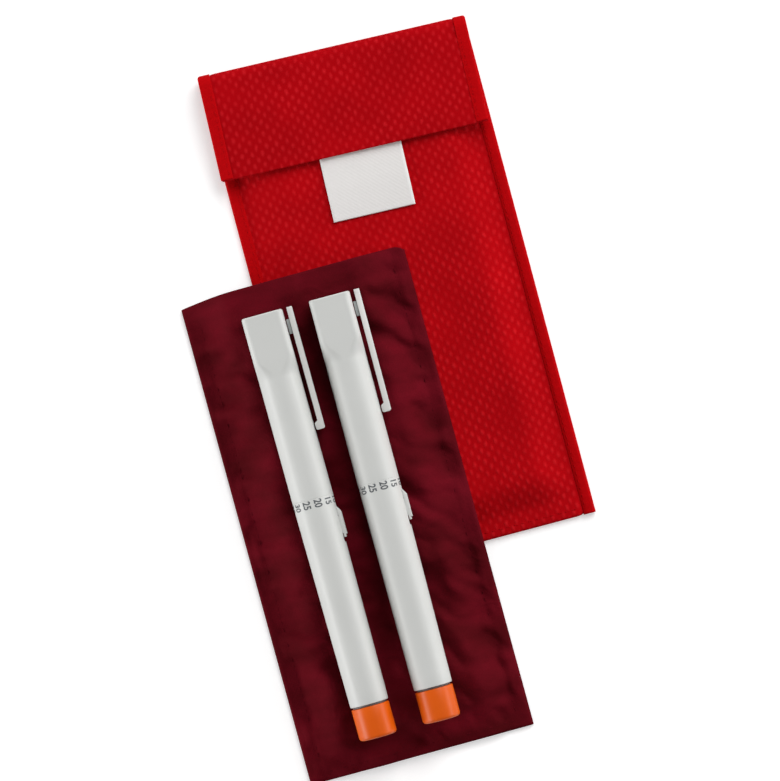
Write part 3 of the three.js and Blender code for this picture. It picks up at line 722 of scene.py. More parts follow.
def label_point(x, t):
    """t below zero is the lower layer, and above zero the upper one; 0 is the fold."""
    share = abs(t) / label_span
    opened = min(share / label_turn, 1)
    y = label_end_y + (label_top_y - label_end_y) * share
    gap = 0.13 * math.sqrt(opened) * (1 if t > 0 else -1)
    hanging = smooth((label_free_y - y) / 12)
    curl = label_curl * (abs(x) / label_half) ** 3 * (1 - share)
    bow = label_bow * math.sin(share * math.pi) * hanging
    z = label_z + gap + hanging * (bow + curl - 0.1)
    return Vector((label_middle + x, y - 0.15 * (1 - opened), z))


def satin_ribbon(name, ground, rib):
    """Polyester satin ribbon: fine cross ribs and a soft gloss along the floats. Ribs are drawn
    0.5 mm apart, about twice the real spacing, so that they show."""
    satin = {"Roughness": 0.5, "Specular IOR Level": 0.3, "Sheen Weight": 0.1}
    material, tree, shader = new_material(name, satin)
    uv = add_node(tree, "UVMap", uv_map="cloth")
    along = add_node(tree, "SeparateXYZ", {0: uv}).outputs["Y"]
    turns = add_node(tree, "Math", {0: along, 1: 2 * math.pi / 0.0005}, operation="MULTIPLY")
    wave = add_node(tree, "Math", {0: turns}, operation="SINE")
    fibre = add_node(tree, "TexNoise", {"Vector": uv, "Scale": 900, "Detail": 2})
    height = add_node(tree, "Math", {0: fibre, 1: 0.6, 2: wave}, operation="MULTIPLY_ADD")
    relief = {"Height": height, "Distance": 0.00004, "Strength": 0.6}
    dress(shader, fibre, ground, rib, relief)
    return material


label_rows = (
    spread(-label_span, -0.4, 22) + [-0.3, -0.15, 0, 0.15, 0.3] + spread(0.4, label_span, 22)
)
label_bm = lay_grid(spread(-label_half, label_half, 26), label_rows, label_point)
ribbon = satin_ribbon("white_satin_ribbon", "e4e1df", "ebe8e6")
label = finish_piece("flap_label", label_bm, ribbon, place=flap_place)
thicken(label, label_cloth)
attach(label, "flap")
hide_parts("flap_label_tab")


# Inner pouch: fine plain-woven cotton, front and back sewn together round three sides, open at
# the mouth, which is turned in and hemmed. It lies on the wallet and droops to the table past
# the wallet's left and bottom edges.
pouch_half = 42.55
pouch_end = 91.75
pouch_length = pouch_end * 2
pouch_place = laid_at(-35.05, -73.5, 0, 0.4)
pouch_seat = 6.1
table_gap = 0.3
left_droop_x, left_droop_run = -56.25, 20
lower_droop_y, lower_droop_run = -83, 44
left_corner_run, left_corner_fall = 22, 1.6
right_corner_run, right_corner_fall = 4, 1.8
seam_height = 1.3
filled_height = 7.4
pouch_flange = 5
pouch_lower_flange = 4
pouch_slope = 13
pouch_cloth = 0.5
hem_depth = 9.2
hem_tuck = 0.6
pen_axes = (-14.6, 10.9)
cap_room, caps_from = 4.6, 54


def pouch_underside(x, y):
    left = smooth((left_droop_x - x) / left_droop_run)
    lower = smooth((lower_droop_y - y) / lower_droop_run)
    return table_gap + (pouch_seat - table_gap) * (1 - left) * (1 - lower)


def on_seat(p, q, height=0):
    """A spot in the pouch's own plan, at a height over its underside."""
    spot = pouch_place @ Vector((p, q, height))
    spot.z += pouch_underside(spot.x, spot.y)
    return spot


def pouch_fullness(p, q):
    across = smooth((pouch_half - pouch_flange - abs(p)) / pouch_slope)
    along = smooth((q + pouch_end - pouch_lower_flange) / pouch_slope)
    return seam_height + (filled_height - seam_height) * across * along


def pouch_mouth(p):
    """The mouth's edge, which falls away towards both corners."""
    left = max(0, (left_corner_run - pouch_half - p) / left_corner_run)
    right = max(0, (p - pouch_half + right_corner_run) / right_corner_run)
    return pouch_end - left_corner_fall * left**2 - right_corner_fall * right**2


# Folds as they lie in the photograph: both ends, half width and rise. Below zero is a valley.
pouch_folds = [
    (30, 87, 40, 70, 2.6, 0.8), (25, 82, 37, 64, 2.2, -1.0), (23, 75, 35, 58, 2.8, 1.1),
    (24, 63, 37, 53, 2.0, -0.9), (22, 52, 33, 36, 3.6, 0.9), (24, 40, 30, 16, 4.0, 0.8),
    (31, 34, 38, 8, 2.4, -0.9), (20, 14, 34, -2, 3.0, 0.7), (19, 4, 33, -12, 2.2, -0.8),
    (20, -14, 35, -36, 4.2, 1.1), (26, -12, 37, -26, 2.0, -0.8), (18, -38, 32, -48, 2.8, -1.0),
    (22, -50, 33, -72, 3.8, 1.0), (36, -60, 37, -88, 1.6, -0.6), (22, -78, 36, -84, 2.6, 0.6),
    (-39, 69, -23, 66, 2.8, -0.9), (-39, 62, -22, 58, 2.8, 0.8), (-40, 57, -23, 48, 2.2, -0.9),
    (-38, 48, -22, 40, 3.0, 0.8), (-39, 31, -23, 27, 2.4, -0.8), (-37, 21, -22, 12, 3.2, 0.8),
    (-38, 6, -24, 2, 2.2, -0.6), (-38, -8, -24, -14, 3.2, 0.7), (-40, -30, -23, -34, 2.4, -0.8),
    (-36, -38, -27, -60, 4.0, 0.9), (-41, -52, -36, -68, 1.8, -0.6), (-33, -74, -24, -86, 2.6, 0.6),
    (-36, 88, -22, 76, 2.4, 0.5), (-41, 84, -38, 72, 1.6, -0.6), (2, 60, -6, 30, 2.0, 0.5),
]
# Crumples between them: rise, length, width and seed.
pouch_crumples = ((3.6, 22, 8.6, 6.6), (1.0, 11, 4.4, 2.2))
left_fullness, right_fullness = 2.2, 1.5


def laid_folds(p, q):
    """The folds named above over slow long crumples, which run across on the left side and
    slant down on the right."""
    p += 1.4 * drift(p, q, 9, 4.4)
    q += 1.4 * drift(p, q, 9, 8.2)
    lean = 0.15 + 0.5 * smooth((p + 10) / 40)
    along = p * math.cos(lean) - q * math.sin(lean)
    over = p * math.sin(lean) + q * math.cos(lean)
    height = 0
    for rise, length, width, seed in pouch_crumples:
        height += rise * noise.noise(Vector((along / length, over / width, seed)))
    height += 1.8 * (0.25 - abs(noise.noise(Vector((along / 19, over / 9, 4.1)))))
    for p0, q0, p1, q1, width, rise in pouch_folds:
        run_p, run_q = p1 - p0, q1 - q0
        share = ((p - p0) * run_p + (q - q0) * run_q) / (run_p**2 + run_q**2)
        share = min(max(share, 0), 1)
        off = math.hypot(p - p0 - run_p * share, q - q0 - run_q * share)
        fullness = left_fullness if p < 0 else right_fullness
        height += fullness * rise * math.exp(-((off / width) ** 2))
    return height


def clear_of_pens(p, q, start=4.2, ramp=4.4):
    """0 from a pen's axis out to start, 1 a ramp further out, and 1 below the pens. The squared
    caps need more room, also where they slide off over the mouth."""
    start += cap_room * smooth((q - caps_from) / 6)
    nearest = min(abs(p - axis) for axis in pen_axes)
    return max(smooth((nearest - start) / ramp), smooth((-q - 81) / 3))


def free_share(p, q):
    """1 where the front cloth is free, 0 where the pens or the seams hold it."""
    seam = min(pouch_half - abs(p), q + pouch_end)
    free = smooth(seam / 5) * (0.4 + 0.6 * smooth((pouch_mouth(p) - q - 8) / 4))
    return min(free, clear_of_pens(p, q, 3.6, 4))


fold_columns, fold_rows = 66, 142
fold_cap = 2.2
sheet_scale = 100
settling_frames = 20
drape_settings = {
    "quality": 6,
    "air_damping": 4,
    "tension_stiffness": 20,
    "compression_stiffness": 20,
    "shear_stiffness": 8,
    "bending_stiffness": 2,
    "vertex_group_mass": "held",
    "shrink_min": -0.012,
    "shrink_max": -0.012,
    "use_pressure": True,
    "uniform_pressure_force": 0.1,
}


def settled(mesh, shares):
    """Heights after a cloth simulation, in which the sheet is held where its share is low. It
    is cut a little wider than the space between its seams, so the laid folds settle into that.
    It is simulated ten times as large as it is, which suits the solver."""
    sheet = put_in_scene("front_sheet", mesh)
    held = sheet.vertex_groups.new(name="held")
    for k, share in enumerate(shares):
        held.add([k], 1 - smooth(share * 2), "REPLACE")
    drape = sheet.modifiers.new("drape", "CLOTH")
    drape.point_cache.frame_end = settling_frames
    for key, value in drape_settings.items():
        setattr(drape.settings, key, value)
    drape.settings.effector_weights.gravity = 0
    for moment in range(1, settling_frames + 1):
        bpy.context.scene.frame_set(moment)
    result = sheet.evaluated_get(bpy.context.evaluated_depsgraph_get())
    heights = [vert.co.z for vert in result.data.vertices]
    bpy.context.scene.frame_set(1)
    bpy.data.objects.remove(sheet)
    return heights


def fold_table():
    """Heights of the front cloth's folds, row by row, capped so that none stands too high."""
    bm = bmesh.new()
    bmesh.ops.create_grid(bm, x_segments=fold_columns - 1, y_segments=fold_rows - 1, size=0.5)
    shares = []
    for vert in bm.verts:
        p, q = vert.co.x * 2 * pouch_half, vert.co.y * 2 * pouch_end
        shares.append(free_share(p, q))
        vert.co = Vector((p, q, laid_folds(p, q) * shares[-1])) / sheet_scale
    mesh = bpy.data.meshes.new("front_sheet")
    bm.to_mesh(mesh)
    bm.free()
    heights = settled(mesh, shares)
    bpy.data.meshes.remove(mesh)
    capped = [fold_cap * math.tanh(height * sheet_scale / fold_cap) for height in heights]
    return [capped[k * fold_columns : (k + 1) * fold_columns] for k in range(fold_rows)]


fold_heights = fold_table()
side_rise = 1.2
pucker_inset, pucker_width, pucker_pitch = 7, 4, 9
left_gathers, right_gathers = 1.9, 0.6
seam_inset, seam_sink = 5.2, 0.3
hem_roll, hem_seam_sink = 0.3, 0.35


def pouch_wrinkle(p, q):
    """Rise and fall of the front cloth: the settled folds, puckers and gathers along the side
    seams, and the hem's roll and stitch line."""
    across = (p / pouch_half + 1) / 2 * (fold_columns - 1)
    along = (q / pouch_end + 1) / 2 * (fold_rows - 1)
    i = min(max(int(across), 0), fold_columns - 2)
    j = min(max(int(along), 0), fold_rows - 2)
    a, b = across - i, along - j
    lower = fold_heights[j][i] * (1 - a) + fold_heights[j][i + 1] * a
    upper = fold_heights[j + 1][i] * (1 - a) + fold_heights[j + 1][i + 1] * a
    rise = lower * (1 - b) + upper * b
    seam = pouch_half - abs(p)
    below = pouch_mouth(p) - q
    clear = clear_of_pens(p, q)
    body = smooth((below - 4) / 9)
    rise += side_rise * clear * smooth((seam - 7) / 9) * body
    near_seam = math.exp(-(((seam - pucker_inset) / pucker_width) ** 2))
    turns = (q + 0.3 * p) * 2 * math.pi / pucker_pitch + 3 * drift(p, q, 14, 1.7)
    rise += (0.45 + 0.6 * drift(p, q, 17, 5.2)) * near_seam * math.sin(turns)
    gathers = noise.noise(Vector((p / 12 + q / 40, q / 4.8, 9.4))) * clear * body
    rise += (left_gathers if p < -10 else right_gathers) * gathers * smooth((seam - 1) / 4)
    rise -= seam_sink * math.exp(-(((seam - seam_inset) / 0.8) ** 2))
    rise += hem_roll * math.exp(-(((below - 4.6) / 2.6) ** 2)) * smooth(seam / 6) * clear
    dip = math.exp(-(((below - hem_depth + 0.6) / 0.8) ** 2)) * smooth(seam / 6)
    rise -= hem_seam_sink * dip
    return max(rise, -0.45 * (pouch_fullness(p, q) - 0.7))


def pouch_height(p, q):
    return pouch_fullness(p, q) + pouch_wrinkle(p, q)


def pouch_point(u, v):
    """u runs round the pouch's section: the back, the right edge, the front, the left edge. v
    runs up from the bottom seam to the mouth, and past it down the hem inside."""
    width = 2 * pouch_half
    if u <= width:
        p, level = u - pouch_half, 0
    elif u < width + 2:
        p, level = pouch_half, 0.5
    elif u <= 2 * width + 2:
        p, level = width + 2 - u + pouch_half, 1
    elif u < 2 * width + 4:
        p, level = -pouch_half, 0.5
    else:
        p, level = -pouch_half, 0
    past = v - pouch_length
    mouth = pouch_mouth(p)
    if past > 0.3:
        q = mouth - past - 0.3
    elif past > -0.4:
        q = mouth - 0.3 * (past / 0.35) ** 2
    else:
        q = (mouth - 0.35 + pouch_end) * max(v, 0) / (pouch_length - 0.4) - pouch_end
    height = pouch_height(p, q)
    if v < 0 or level == 0.5:
        return on_seat(p, q, height / 2)
    tuck = min(hem_tuck, height / 2 - 0.27) * smooth((past + 0.4) / 0.8)
    inset = pouch_cloth / 2 + tuck
    return on_seat(p, q, height - inset if level else inset)


def plain_cotton(name, ground, lit):
    """Closely woven dyed cotton: matt, with a trace of sheen on its folds and small crumples.
    Slanted streaks of tone run the way its folds run, from the dark ground colour to the lit one:
    painted fold shade and painted fold light. The threads are drawn 0.6 mm apart, so that the
    weave shows."""
    thread_scale = 2 * math.pi / 20 / 0.0006
    dull = {"Roughness": 0.75, "Specular IOR Level": 0.02}
    fuzz = {"Sheen Weight": 0.15, "Sheen Roughness": 0.4, "Sheen Tint": colour("8a0716")}
    material, tree, shader = new_material(name, dull | fuzz)
    place = add_node(tree, "TexCoord").outputs["Object"]
    threads = {"Vector": place, "Scale": thread_scale, "Distortion": 0.4}
    warp = add_node(tree, "TexWave", threads, bands_direction="X").outputs["Fac"]
    weft = add_node(tree, "TexWave", threads, bands_direction="Y").outputs["Fac"]
    weave = add_node(tree, "Math", {0: warp, 1: weft}, operation="MULTIPLY")
    # Painted fold shade and light: the streaks darken and lighten the cloth the way its folds run.
    painted_fold_streaks = {"Vector": place, "Rotation": (0, 0, 0.35), "Scale": (36, 80, 36)}
    painted_fold_place = add_node(tree, "Mapping", painted_fold_streaks)
    tone = add_node(tree, "TexNoise", {"Vector": painted_fold_place, "Scale": 1, "Detail": 3})
    shade = add_node(tree, "MapRange", {"Value": tone, "From Min": 0.3, "From Max": 0.7})
    creases = {"Vector": place, "Scale": 120, "Detail": 4, "Distortion": 0.8}
    crumple = add_node(tree, "TexNoise", creases)
    fine = add_node(tree, "Bump", {"Height": weave, "Distance": 0.00005, "Strength": 0.5})
    relief = {"Height": crumple, "Distance": 0.0009, "Strength": 0.7, "Normal": fine}
    dress(shader, shade, ground, lit, relief)
    return material


pouch_stations = run_on(-pouch_half, (-30, 14), (20, 32), (pouch_half, 24))
pouch_columns = (
    [p + pouch_half for p in pouch_stations]
    + [2 * pouch_half + 1]
    + [3 * pouch_half + 2 - p for p in reversed(pouch_stations)]
    + [4 * pouch_half + 3, 4 * pouch_half + 4]
)
pouch_rows = (
    [-0.5]
    + spread(0, pouch_length - 0.6, 150)
    + spread(pouch_length - 0.35, pouch_length + 0.35, 4)
    + spread(pouch_length + 0.6, pouch_length + hem_depth, 9)
)
maroon_cotton = plain_cotton("maroon_plain_cotton", "4b0910", "650d1a")
pouch_bm = outward(lay_grid(pouch_columns, pouch_rows, pouch_point))
pouch = finish_piece("pouch_cloth", pouch_bm, maroon_cotton)
thicken(pouch, pouch_cloth)
pouch_solids = ["back_sheet", "front_sheet", "back_mouth_hem", "front_mouth_hem"]
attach(pouch, "pouch")
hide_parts(*(f"pouch_{solid}" for solid in pouch_solids))


# Pouch stitches: maroon polyester thread through both walls, along both side seams, the bottom
# seam and the mouth's hem, seen on the front and on the back.
side_stitches, end_stitches = 62, 26


def front_spot(p, q):
    return on_seat(p, q, pouch_height(p, q))


pouch_seams = bmesh.new()
for spot, rise in ((front_spot, -0.04), (on_seat, 0.06)):
    thread = {"length": 2, "width": 0.3, "rise": rise}
    for p in (seam_inset - pouch_half, pouch_half - seam_inset):
        sew_row(pouch_seams, side_stitches, -86, lambda q, p=p: spot(p, q), **thread)
    for start, row in (
        (-36, lambda p: spot(p, 3 - pouch_end)),
        (-37, lambda p: spot(p, pouch_mouth(p) - hem_depth + 0.6)),
    ):
        sew_row(pouch_seams, end_stitches, start, row, **thread)
maroon_thread = spun_thread("maroon_spun_thread", "520b14", "600d1a")
pouch_stitches = finish_piece("pouch_seam_stitches", pouch_seams, maroon_thread)
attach(pouch_stitches, "pouch")


# Crystal pads: a quilted lining in each wall of the pouch holds the cooling crystals in sewn
# channels. They are pale cotton, and show only through the mouth.
pad_half = 26.55
pad_start = -77.75
pad_length = 159.5
channel = 13.275
pad_rise = 0.45
back_pad_level = 1.05
front_pad_depth = 1.2


def pad_point(x, row, front):
    """Rows below zero are the pad's underside. It is thin along its sewn channels."""
    q = pad_start + abs(row)
    rim = min(pad_half - abs(x), abs(row), pad_length - abs(row))
    pillow = abs(math.sin((x + pad_half) / channel * math.pi)) ** 0.5
    end = math.sqrt(smooth((rim + 0.1) / 2))
    half = pad_rise * end * (0.3 + 0.6 * pillow + 0.1 * drift(x, q, 5, 8.8))
    level = pouch_height(x, q) - front_pad_depth if front else back_pad_level
    return on_seat(x, q, level + math.copysign(half, row))


def quilted_cotton(name, ground, lit):
    """Undyed cotton over loose crystals: matt and lumpy, with a grain every two millimetres. Each
    lump is painted lighter on its top and darker towards its edges, as painted light and shade.
    """
    material, tree, shader = new_material(name, {"Roughness": 0.95, "Sheen Weight": 0.1})
    place = add_node(tree, "TexCoord").outputs["Object"]
    lumps_height_and_painted_shade = add_node(tree, "TexVoronoi", {"Vector": place, "Scale": 500})
    relief = {"Height": lumps_height_and_painted_shade, "Distance": 0.0003, "Strength": 0.6}
    dress(shader, lumps_height_and_painted_shade, lit, ground, relief)
    return material


crystal_quilt = quilted_cotton("undyed_quilted_cotton", "b9b0a0", "d9d2c4")
for pad_name in ("back", "front"):
    pad_bm = lay_grid(
        spread(-pad_half, pad_half, 56),
        both_faces(pad_length, 70),
        lambda x, row, front=pad_name == "front": pad_point(x, row, front),
        sew=0.02,
    )
    pad = finish_piece(f"pouch_{pad_name}_crystal_quilt", pad_bm, crystal_quilt)
    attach(pad, "pouch")
    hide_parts(f"pouch_{pad_name}_crystal_pad")


# Cap: an aluminium tube drawn to a squared head at its closed end, lacquered inside and out.
# Each pen is laid out along its own axis, which is -y from the cap's top, with the clip on the
# x side, and then put in its place on the pouch.
pen_places = {
    "left": laid_at(-49.7, 7.1, 21.5, 0.57),
    "right": laid_at(-24.15, 7.2, 21.5, 0.05),
}
cap_ring = 96
cap_radius = 7.7
head_corner = 2.5
head_cut = 0.4
squared_to, squaring_run = 15.8, 8.6
rim_cuts = [head_cut * math.sin(angle) for angle in (0.4, 0.8, 1.2)] + [head_cut]


def head_row(station):
    """Below the squared head the corners widen until the tube is round."""
    widened = smooth((station - squared_to) / squaring_run)
    return (cap_radius, head_corner + (cap_radius - head_corner) * widened, station)


cap_profile = (
    [(6.75, 6.75, s) for s in (4, 4.4, 30, 69.6)]
    + [(6.85, 6.85, 70.19), (7.0, 7.0, 70.28), (7.64, 7.64, 70.28), (7.67, 7.67, 70.27)]
    + [(7.69, 7.69, 70.22)]
    + [(cap_radius, cap_radius, s) for s in (70.1, 66.5, 45)]
    + [head_row(s) for s in spread(24.5, 15.7, 22)]
    + [(cap_radius, head_corner, 10), (cap_radius, head_corner, 0.45)]
    + [(cap_radius - cut, head_corner - cut, head_cut - cut) for cut in rim_cuts]
)


def cap_point(k, row):
    """A profile's row is half the width, the corner's radius and the station."""
    half, corner, station = cap_profile[row]
    angle = (k + 0.5) / cap_ring * 2 * math.pi
    x, z = (
        (half - corner) * math.copysign(1, turn) + corner * turn
        for turn in (math.cos(angle), math.sin(angle))
    )
    return Vector((x, -station, z))


def satin_lacquer(name, tint, shade):
    """Satin silver-white lacquer over metal: smooth to the touch, with a fine spray grain and a
    soft gloss that spreads the soft boxes into bands."""
    film = {"IOR": 1.45, "Coat Weight": 0.3, "Coat Roughness": 0.34}
    material, tree, shader = new_material(name, film)
    place = add_node(tree, "TexCoord").outputs["Object"]
    grain = add_node(tree, "TexNoise", {"Vector": place, "Scale": 2500, "Detail": 2})
    haze = add_node(tree, "TexNoise", {"Vector": place, "Scale": 60, "Detail": 3})
    rough = add_node(tree, "MapRange", {"Value": haze, "To Min": 0.47, "To Max": 0.57})
    set_inputs(shader, {"Roughness": rough})
    relief = {"Height": grain, "Distance": 0.00001, "Strength": 0.5}
    dress(shader, haze, shade, tint, relief)
    return material


def filled_grid(columns, rows, place):
    """A tube laid from a grid, with its open ends closed."""
    bm = lay_grid(range(columns), range(rows), place)
    bmesh.ops.holes_fill(bm, edges=bm.edges)
    return outward(bm)


def fit_to_pens(part, bm, *materials, sharp, body, slot, solid=None):
    """Puts a part on each pen, where it rides on a body and stands for a solid of that pen."""
    for side, place in pen_places.items():
        name = f"{side}_pen_{part}"
        piece = finish_piece(name, bm.copy(), *materials, sharp=sharp, place=place)
        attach(piece, f"{side}_{body}")
        if solid:
            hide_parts(f"{side}_pen_{solid}")
    bm.free()


silver_lacquer = satin_lacquer("satin_silver_lacquer", "d1d2cf", "cbccc9")
cap_bm = filled_grid(cap_ring + 1, len(cap_profile), cap_point)
fit_to_pens(
    "cap_shell", cap_bm, silver_lacquer, sharp=30, body="cap", solid="cap", slot="pen_shell"
)


# Clip: a lacquered steel bar beside the cap, carried by a grey moulded bridge near its top; its
# foot bends in to grip the cloth.
clip_half = 2.2
clip_rounding = 0.14
bridge_half = 1.7
clip_outline = [
    (9.3, 0), (11.4, 0), (11.4, 45.9), (10.9, 46.4), (8.5, 46.4), (8.1, 46.0), (8.1, 43.9),
    (8.4, 43.5), (9.3, 43.0),
]
bridge_outline = [(8.0, 4.3), (9.5, 4.3), (9.5, 9.8), (8.0, 9.8)]


def prism(bm, outline, half, material_index=0, steps=1):
    """Extrudes an outline of (x, station) pairs across z."""
    verts = [bm.verts.new((x, -station, -half)) for x, station in outline]
    layer = [bm.faces.new(verts)]
    layer[0].material_index = material_index
    for _ in range(steps):
        made = bmesh.ops.extrude_face_region(bm, geom=layer)["geom"]
        top = [g for g in made if isinstance(g, bmesh.types.BMVert)]
        bmesh.ops.translate(bm, verts=top, vec=(0, 0, 2 * half / steps))
        layer = [g for g in made if isinstance(g, bmesh.types.BMFace)]


def softened(bm, width):
    """Breaks every sharp edge by a small rounding, as moulding or polishing leaves it."""
    steepest = math.radians(30)
    sharp = [e for e in bm.edges if e.is_manifold and e.calc_face_angle(0) > steepest]
    bmesh.ops.bevel(
        bm, geom=sharp, offset=width, segments=2, profile=0.5, affect="EDGES",
        clamp_overlap=True, material=-1,
    )
    return bm


def moulded_plastic(name, tint, shade, roughness, ior=1.46):
    """Injection-moulded plastic: even in colour, with the faint spark-eroded grain of its mould
    and slow changes in gloss where it cooled."""
    material, tree, shader = new_material(name, {"IOR": ior})
    place = add_node(tree, "TexCoord").outputs["Object"]
    grain = add_node(tree, "TexNoise", {"Vector": place, "Scale": 1800, "Detail": 3})
    flow = add_node(tree, "TexNoise", {"Vector": place, "Scale": 110, "Detail": 2})
    gloss = {"Value": flow, "To Min": roughness - 0.05, "To Max": roughness + 0.06}
    set_inputs(shader, {"Roughness": add_node(tree, "MapRange", gloss)})
    relief = {"Height": grain, "Distance": 0.00002, "Strength": 0.5}
    dress(shader, flow, shade, tint, relief)
    return material


# The clip's lacquer is a lighter copy of the cap's: painted light on the clip bar.
clip_lacquer_painted_lighter = satin_lacquer("clip_satin_lacquer_painted_lighter", "dfdedb", "d8d7d4")
grey_plastic = moulded_plastic("grey_abs", "9fa2a1", "8f9291", 0.42)
clip_bm = bmesh.new()
prism(clip_bm, clip_outline, clip_half)
prism(clip_bm, bridge_outline, bridge_half, material_index=1)
fit_to_pens(
    "clip_bar", softened(outward(clip_bm), clip_rounding), clip_lacquer_painted_lighter, grey_plastic,
    sharp=40, body="clip", solid="clip", slot="pen_shell",
)


# Barrel: the same lacquered tube, slightly tapered, with a slot on the clip's side for the
# release slider.
barrel_ring = 96
slot_steps = 8
slot_half = 2.4
slot_start = 78.5
slot_end = 88.6
barrel_profile = [
    (6.6, 70.6), (6.75, 70.31), (7.64, 70.31), (7.67, 70.32), (7.69, 70.38), (7.7, 70.5),
    (7.64, slot_start), (7.57, slot_end), (7.4, 117), (7.23, 144), (7.2, 147.8), (7.15, 148.1),
    (7.0, 148.2), (6.15, 148.2), (6.0, 148.0), (6.0, slot_end), (6.0, 78.52), (6.6, slot_start),
    (6.6, 70.6),
]


def barrel_point(k, row):
    """Column 0 and column barrel_ring stand at the slot's two straight sides, the columns after
    them cross the slot, and the last one closes the ring on column 0."""
    radius, station = barrel_profile[row]
    side_angle = math.asin(slot_half / radius)
    angle = side_angle + (2 * math.pi - 2 * side_angle) * k / barrel_ring
    if k == barrel_ring + slot_steps:
        angle = side_angle
    elif k > barrel_ring:
        half_steps = slot_steps / 2
        angle = 2 * math.pi + side_angle * (k - barrel_ring - half_steps) / half_steps
    return Vector((radius * math.cos(angle), -station, radius * math.sin(angle)))


def over_slot(face):
    spot = face.calc_center_median()
    beside = spot.x > 0 and abs(spot.z) < slot_half * 0.98
    return beside and slot_start < -spot.y < slot_end


barrel_columns = range(barrel_ring + slot_steps + 1)
barrel_bm = lay_grid(barrel_columns, range(len(barrel_profile)), barrel_point)
slot_faces = [face for face in barrel_bm.faces if over_slot(face)]
bmesh.ops.delete(barrel_bm, geom=slot_faces, context="FACES")
rims = [edge for edge in barrel_bm.edges if edge.is_boundary]
bmesh.ops.bridge_loops(barrel_bm, edges=rims)
fit_to_pens(
    "barrel_tube", outward(barrel_bm), silver_lacquer,
    sharp=30, body="pen", solid="barrel", slot="pen_shell",
)


# Numbers: pad-printed grey ink on the barrel just below the cap, turned sideways and 4.3 mm
# apart round it. They are plain tens and fives.
number_count = 11
number_start = 0.24
number_station = 72.2
number_size = 4
number_width = 0.78
number_weight = 0.11
number_slice = 0.4
barrel_radius = 7.7
barrel_taper = 0.0081
ink_proud = 0.02
ink = moulded_plastic("grey_printing_ink", "5e6164", "56595c", 0.6)
number_bm = bmesh.new()
for k in range(number_count):
    text = bpy.data.curves.new("number", "FONT")
    text.body = str(5 * k + 10)
    text.size = number_size
    text.offset = number_weight
    text.align_x, text.align_y = "CENTER", "CENTER"
    carrier = put_in_scene("number", text)
    bpy.context.view_layer.update()
    glyphs = bpy.data.meshes.new_from_object(carrier)
    bpy.data.objects.remove(carrier)
    flat_bm = bmesh.new()
    flat_bm.from_mesh(glyphs)
    bmesh.ops.scale(flat_bm, verts=flat_bm.verts, vec=(number_width, 1, 1))
    for cut in range(-3, 4):
        everything = flat_bm.verts[:] + flat_bm.edges[:] + flat_bm.faces[:]
        bmesh.ops.bisect_plane(
            flat_bm, geom=everything, plane_co=(0, cut * number_slice, 0), plane_no=(0, 1, 0)
        )
    centre = 2 * math.pi * k / number_count + number_start
    for vert in flat_bm.verts:
        angle = centre - vert.co.y / barrel_radius
        station = number_station + vert.co.x
        radius = barrel_radius - (station - 71) * barrel_taper + ink_proud
        vert.co = (radius * math.cos(angle), -station, radius * math.sin(angle))
    flat_bm.to_mesh(glyphs)
    flat_bm.free()
    number_bm.from_mesh(glyphs)
    bpy.data.meshes.remove(glyphs)
fit_to_pens("dose_numbers", number_bm, ink, sharp=180, body="pen", slot="grey_plastic")


# Release slider: a lacquered tab that rides in the barrel's slot, with a small step at its end.
# Its top is bowed to the barrel's curve.
slider_half = 2.2
slider_rounding = 0.1
tab_underside = 7.9
tab_bed = 0.15
slider_outline = [
    (7.9, 75.3), (8.7, 76.9), (8.95, 77.6), (8.95, 85.9), (8.45, 85.9), (8.45, 86.9),
    (7.9, 86.9), (7.9, 85.3), (5.4, 85.3), (5.4, 90.2), (4.7, 90.2), (4.7, 77.6), (5.4, 77.6),
    (5.4, 78.8), (7.9, 78.8),
]
slider_bm = bmesh.new()
prism(slider_bm, slider_outline, slider_half, steps=10)
for vert in slider_bm.verts:
    if vert.co.x > tab_underside - 0.3:
        sink = tab_bed if vert.co.x < tab_underside + 0.01 else 0
        vert.co.x -= barrel_radius - math.sqrt(barrel_radius**2 - vert.co.z**2) + sink
fit_to_pens(
    "slider_tab", softened(outward(slider_bm), slider_rounding), silver_lacquer,
    sharp=40, body="release", solid="release_slider", slot="pen_shell",
)


# Dose selector: glossy orange moulding with a rounded end and a shallow dish, on a grey collar
# that shows as the thin neck between it and the barrel.
selector_profile = (
    [(0, 142.1), (3.6, 142.1), (3.9, 142.4), (3.9, 149.0), (6.85, 149.0), (7.02, 149.08)]
    + [(7.1, 149.3), (7.1, 155), (7.1, 159.2)]
    + [(5.8 + 1.3 * math.cos(a), 159.7 + 1.3 * math.sin(a)) for a in spread(0.12, math.pi / 2, 8)]
    + [(5.0, 161.0), (4.6, 160.93), (3.5, 160.72), (2, 160.62), (0, 160.6)]
)
collar_profile = [
    (4.2, 140.1), (5.5, 140.1), (5.6, 140.2), (5.6, 148.5), (6.25, 148.5), (6.3, 148.55),
    (6.3, 148.75), (6.25, 148.8), (4.2, 148.8), (4.2, 140.1),
]


def turned(profile, segments=96):
    """Spins a closed or axis-to-axis profile of (radius, station) pairs round the pen's axis."""
    bm = bmesh.new()
    verts = [bm.verts.new((radius, -station, 0)) for radius, station in profile]
    edges = [bm.edges.new(pair) for pair in zip(verts, verts[1:])]
    bmesh.ops.spin(
        bm, geom=verts + edges, axis=(0, 1, 0), cent=(0, 0, 0), angle=2 * math.pi,
        steps=segments, use_merge=True,
    )
    bmesh.ops.remove_doubles(bm, verts=bm.verts, dist=1e-4)
    return outward(bm)


orange_plastic = moulded_plastic("orange_acetal", "e15e04", "d75403", 0.34, 1.36)
collar_plastic = moulded_plastic("mid_grey_abs", "85888a", "76797b", 0.45)
fit_to_pens(
    "selector_knob", turned(selector_profile), orange_plastic,
    sharp=40, body="dial", solid="dose_selector", slot="selector",
)
fit_to_pens(
    "collar_ring", turned(collar_profile), collar_plastic,
    sharp=30, body="dial", solid="selector_collar", slot="grey_plastic",
)


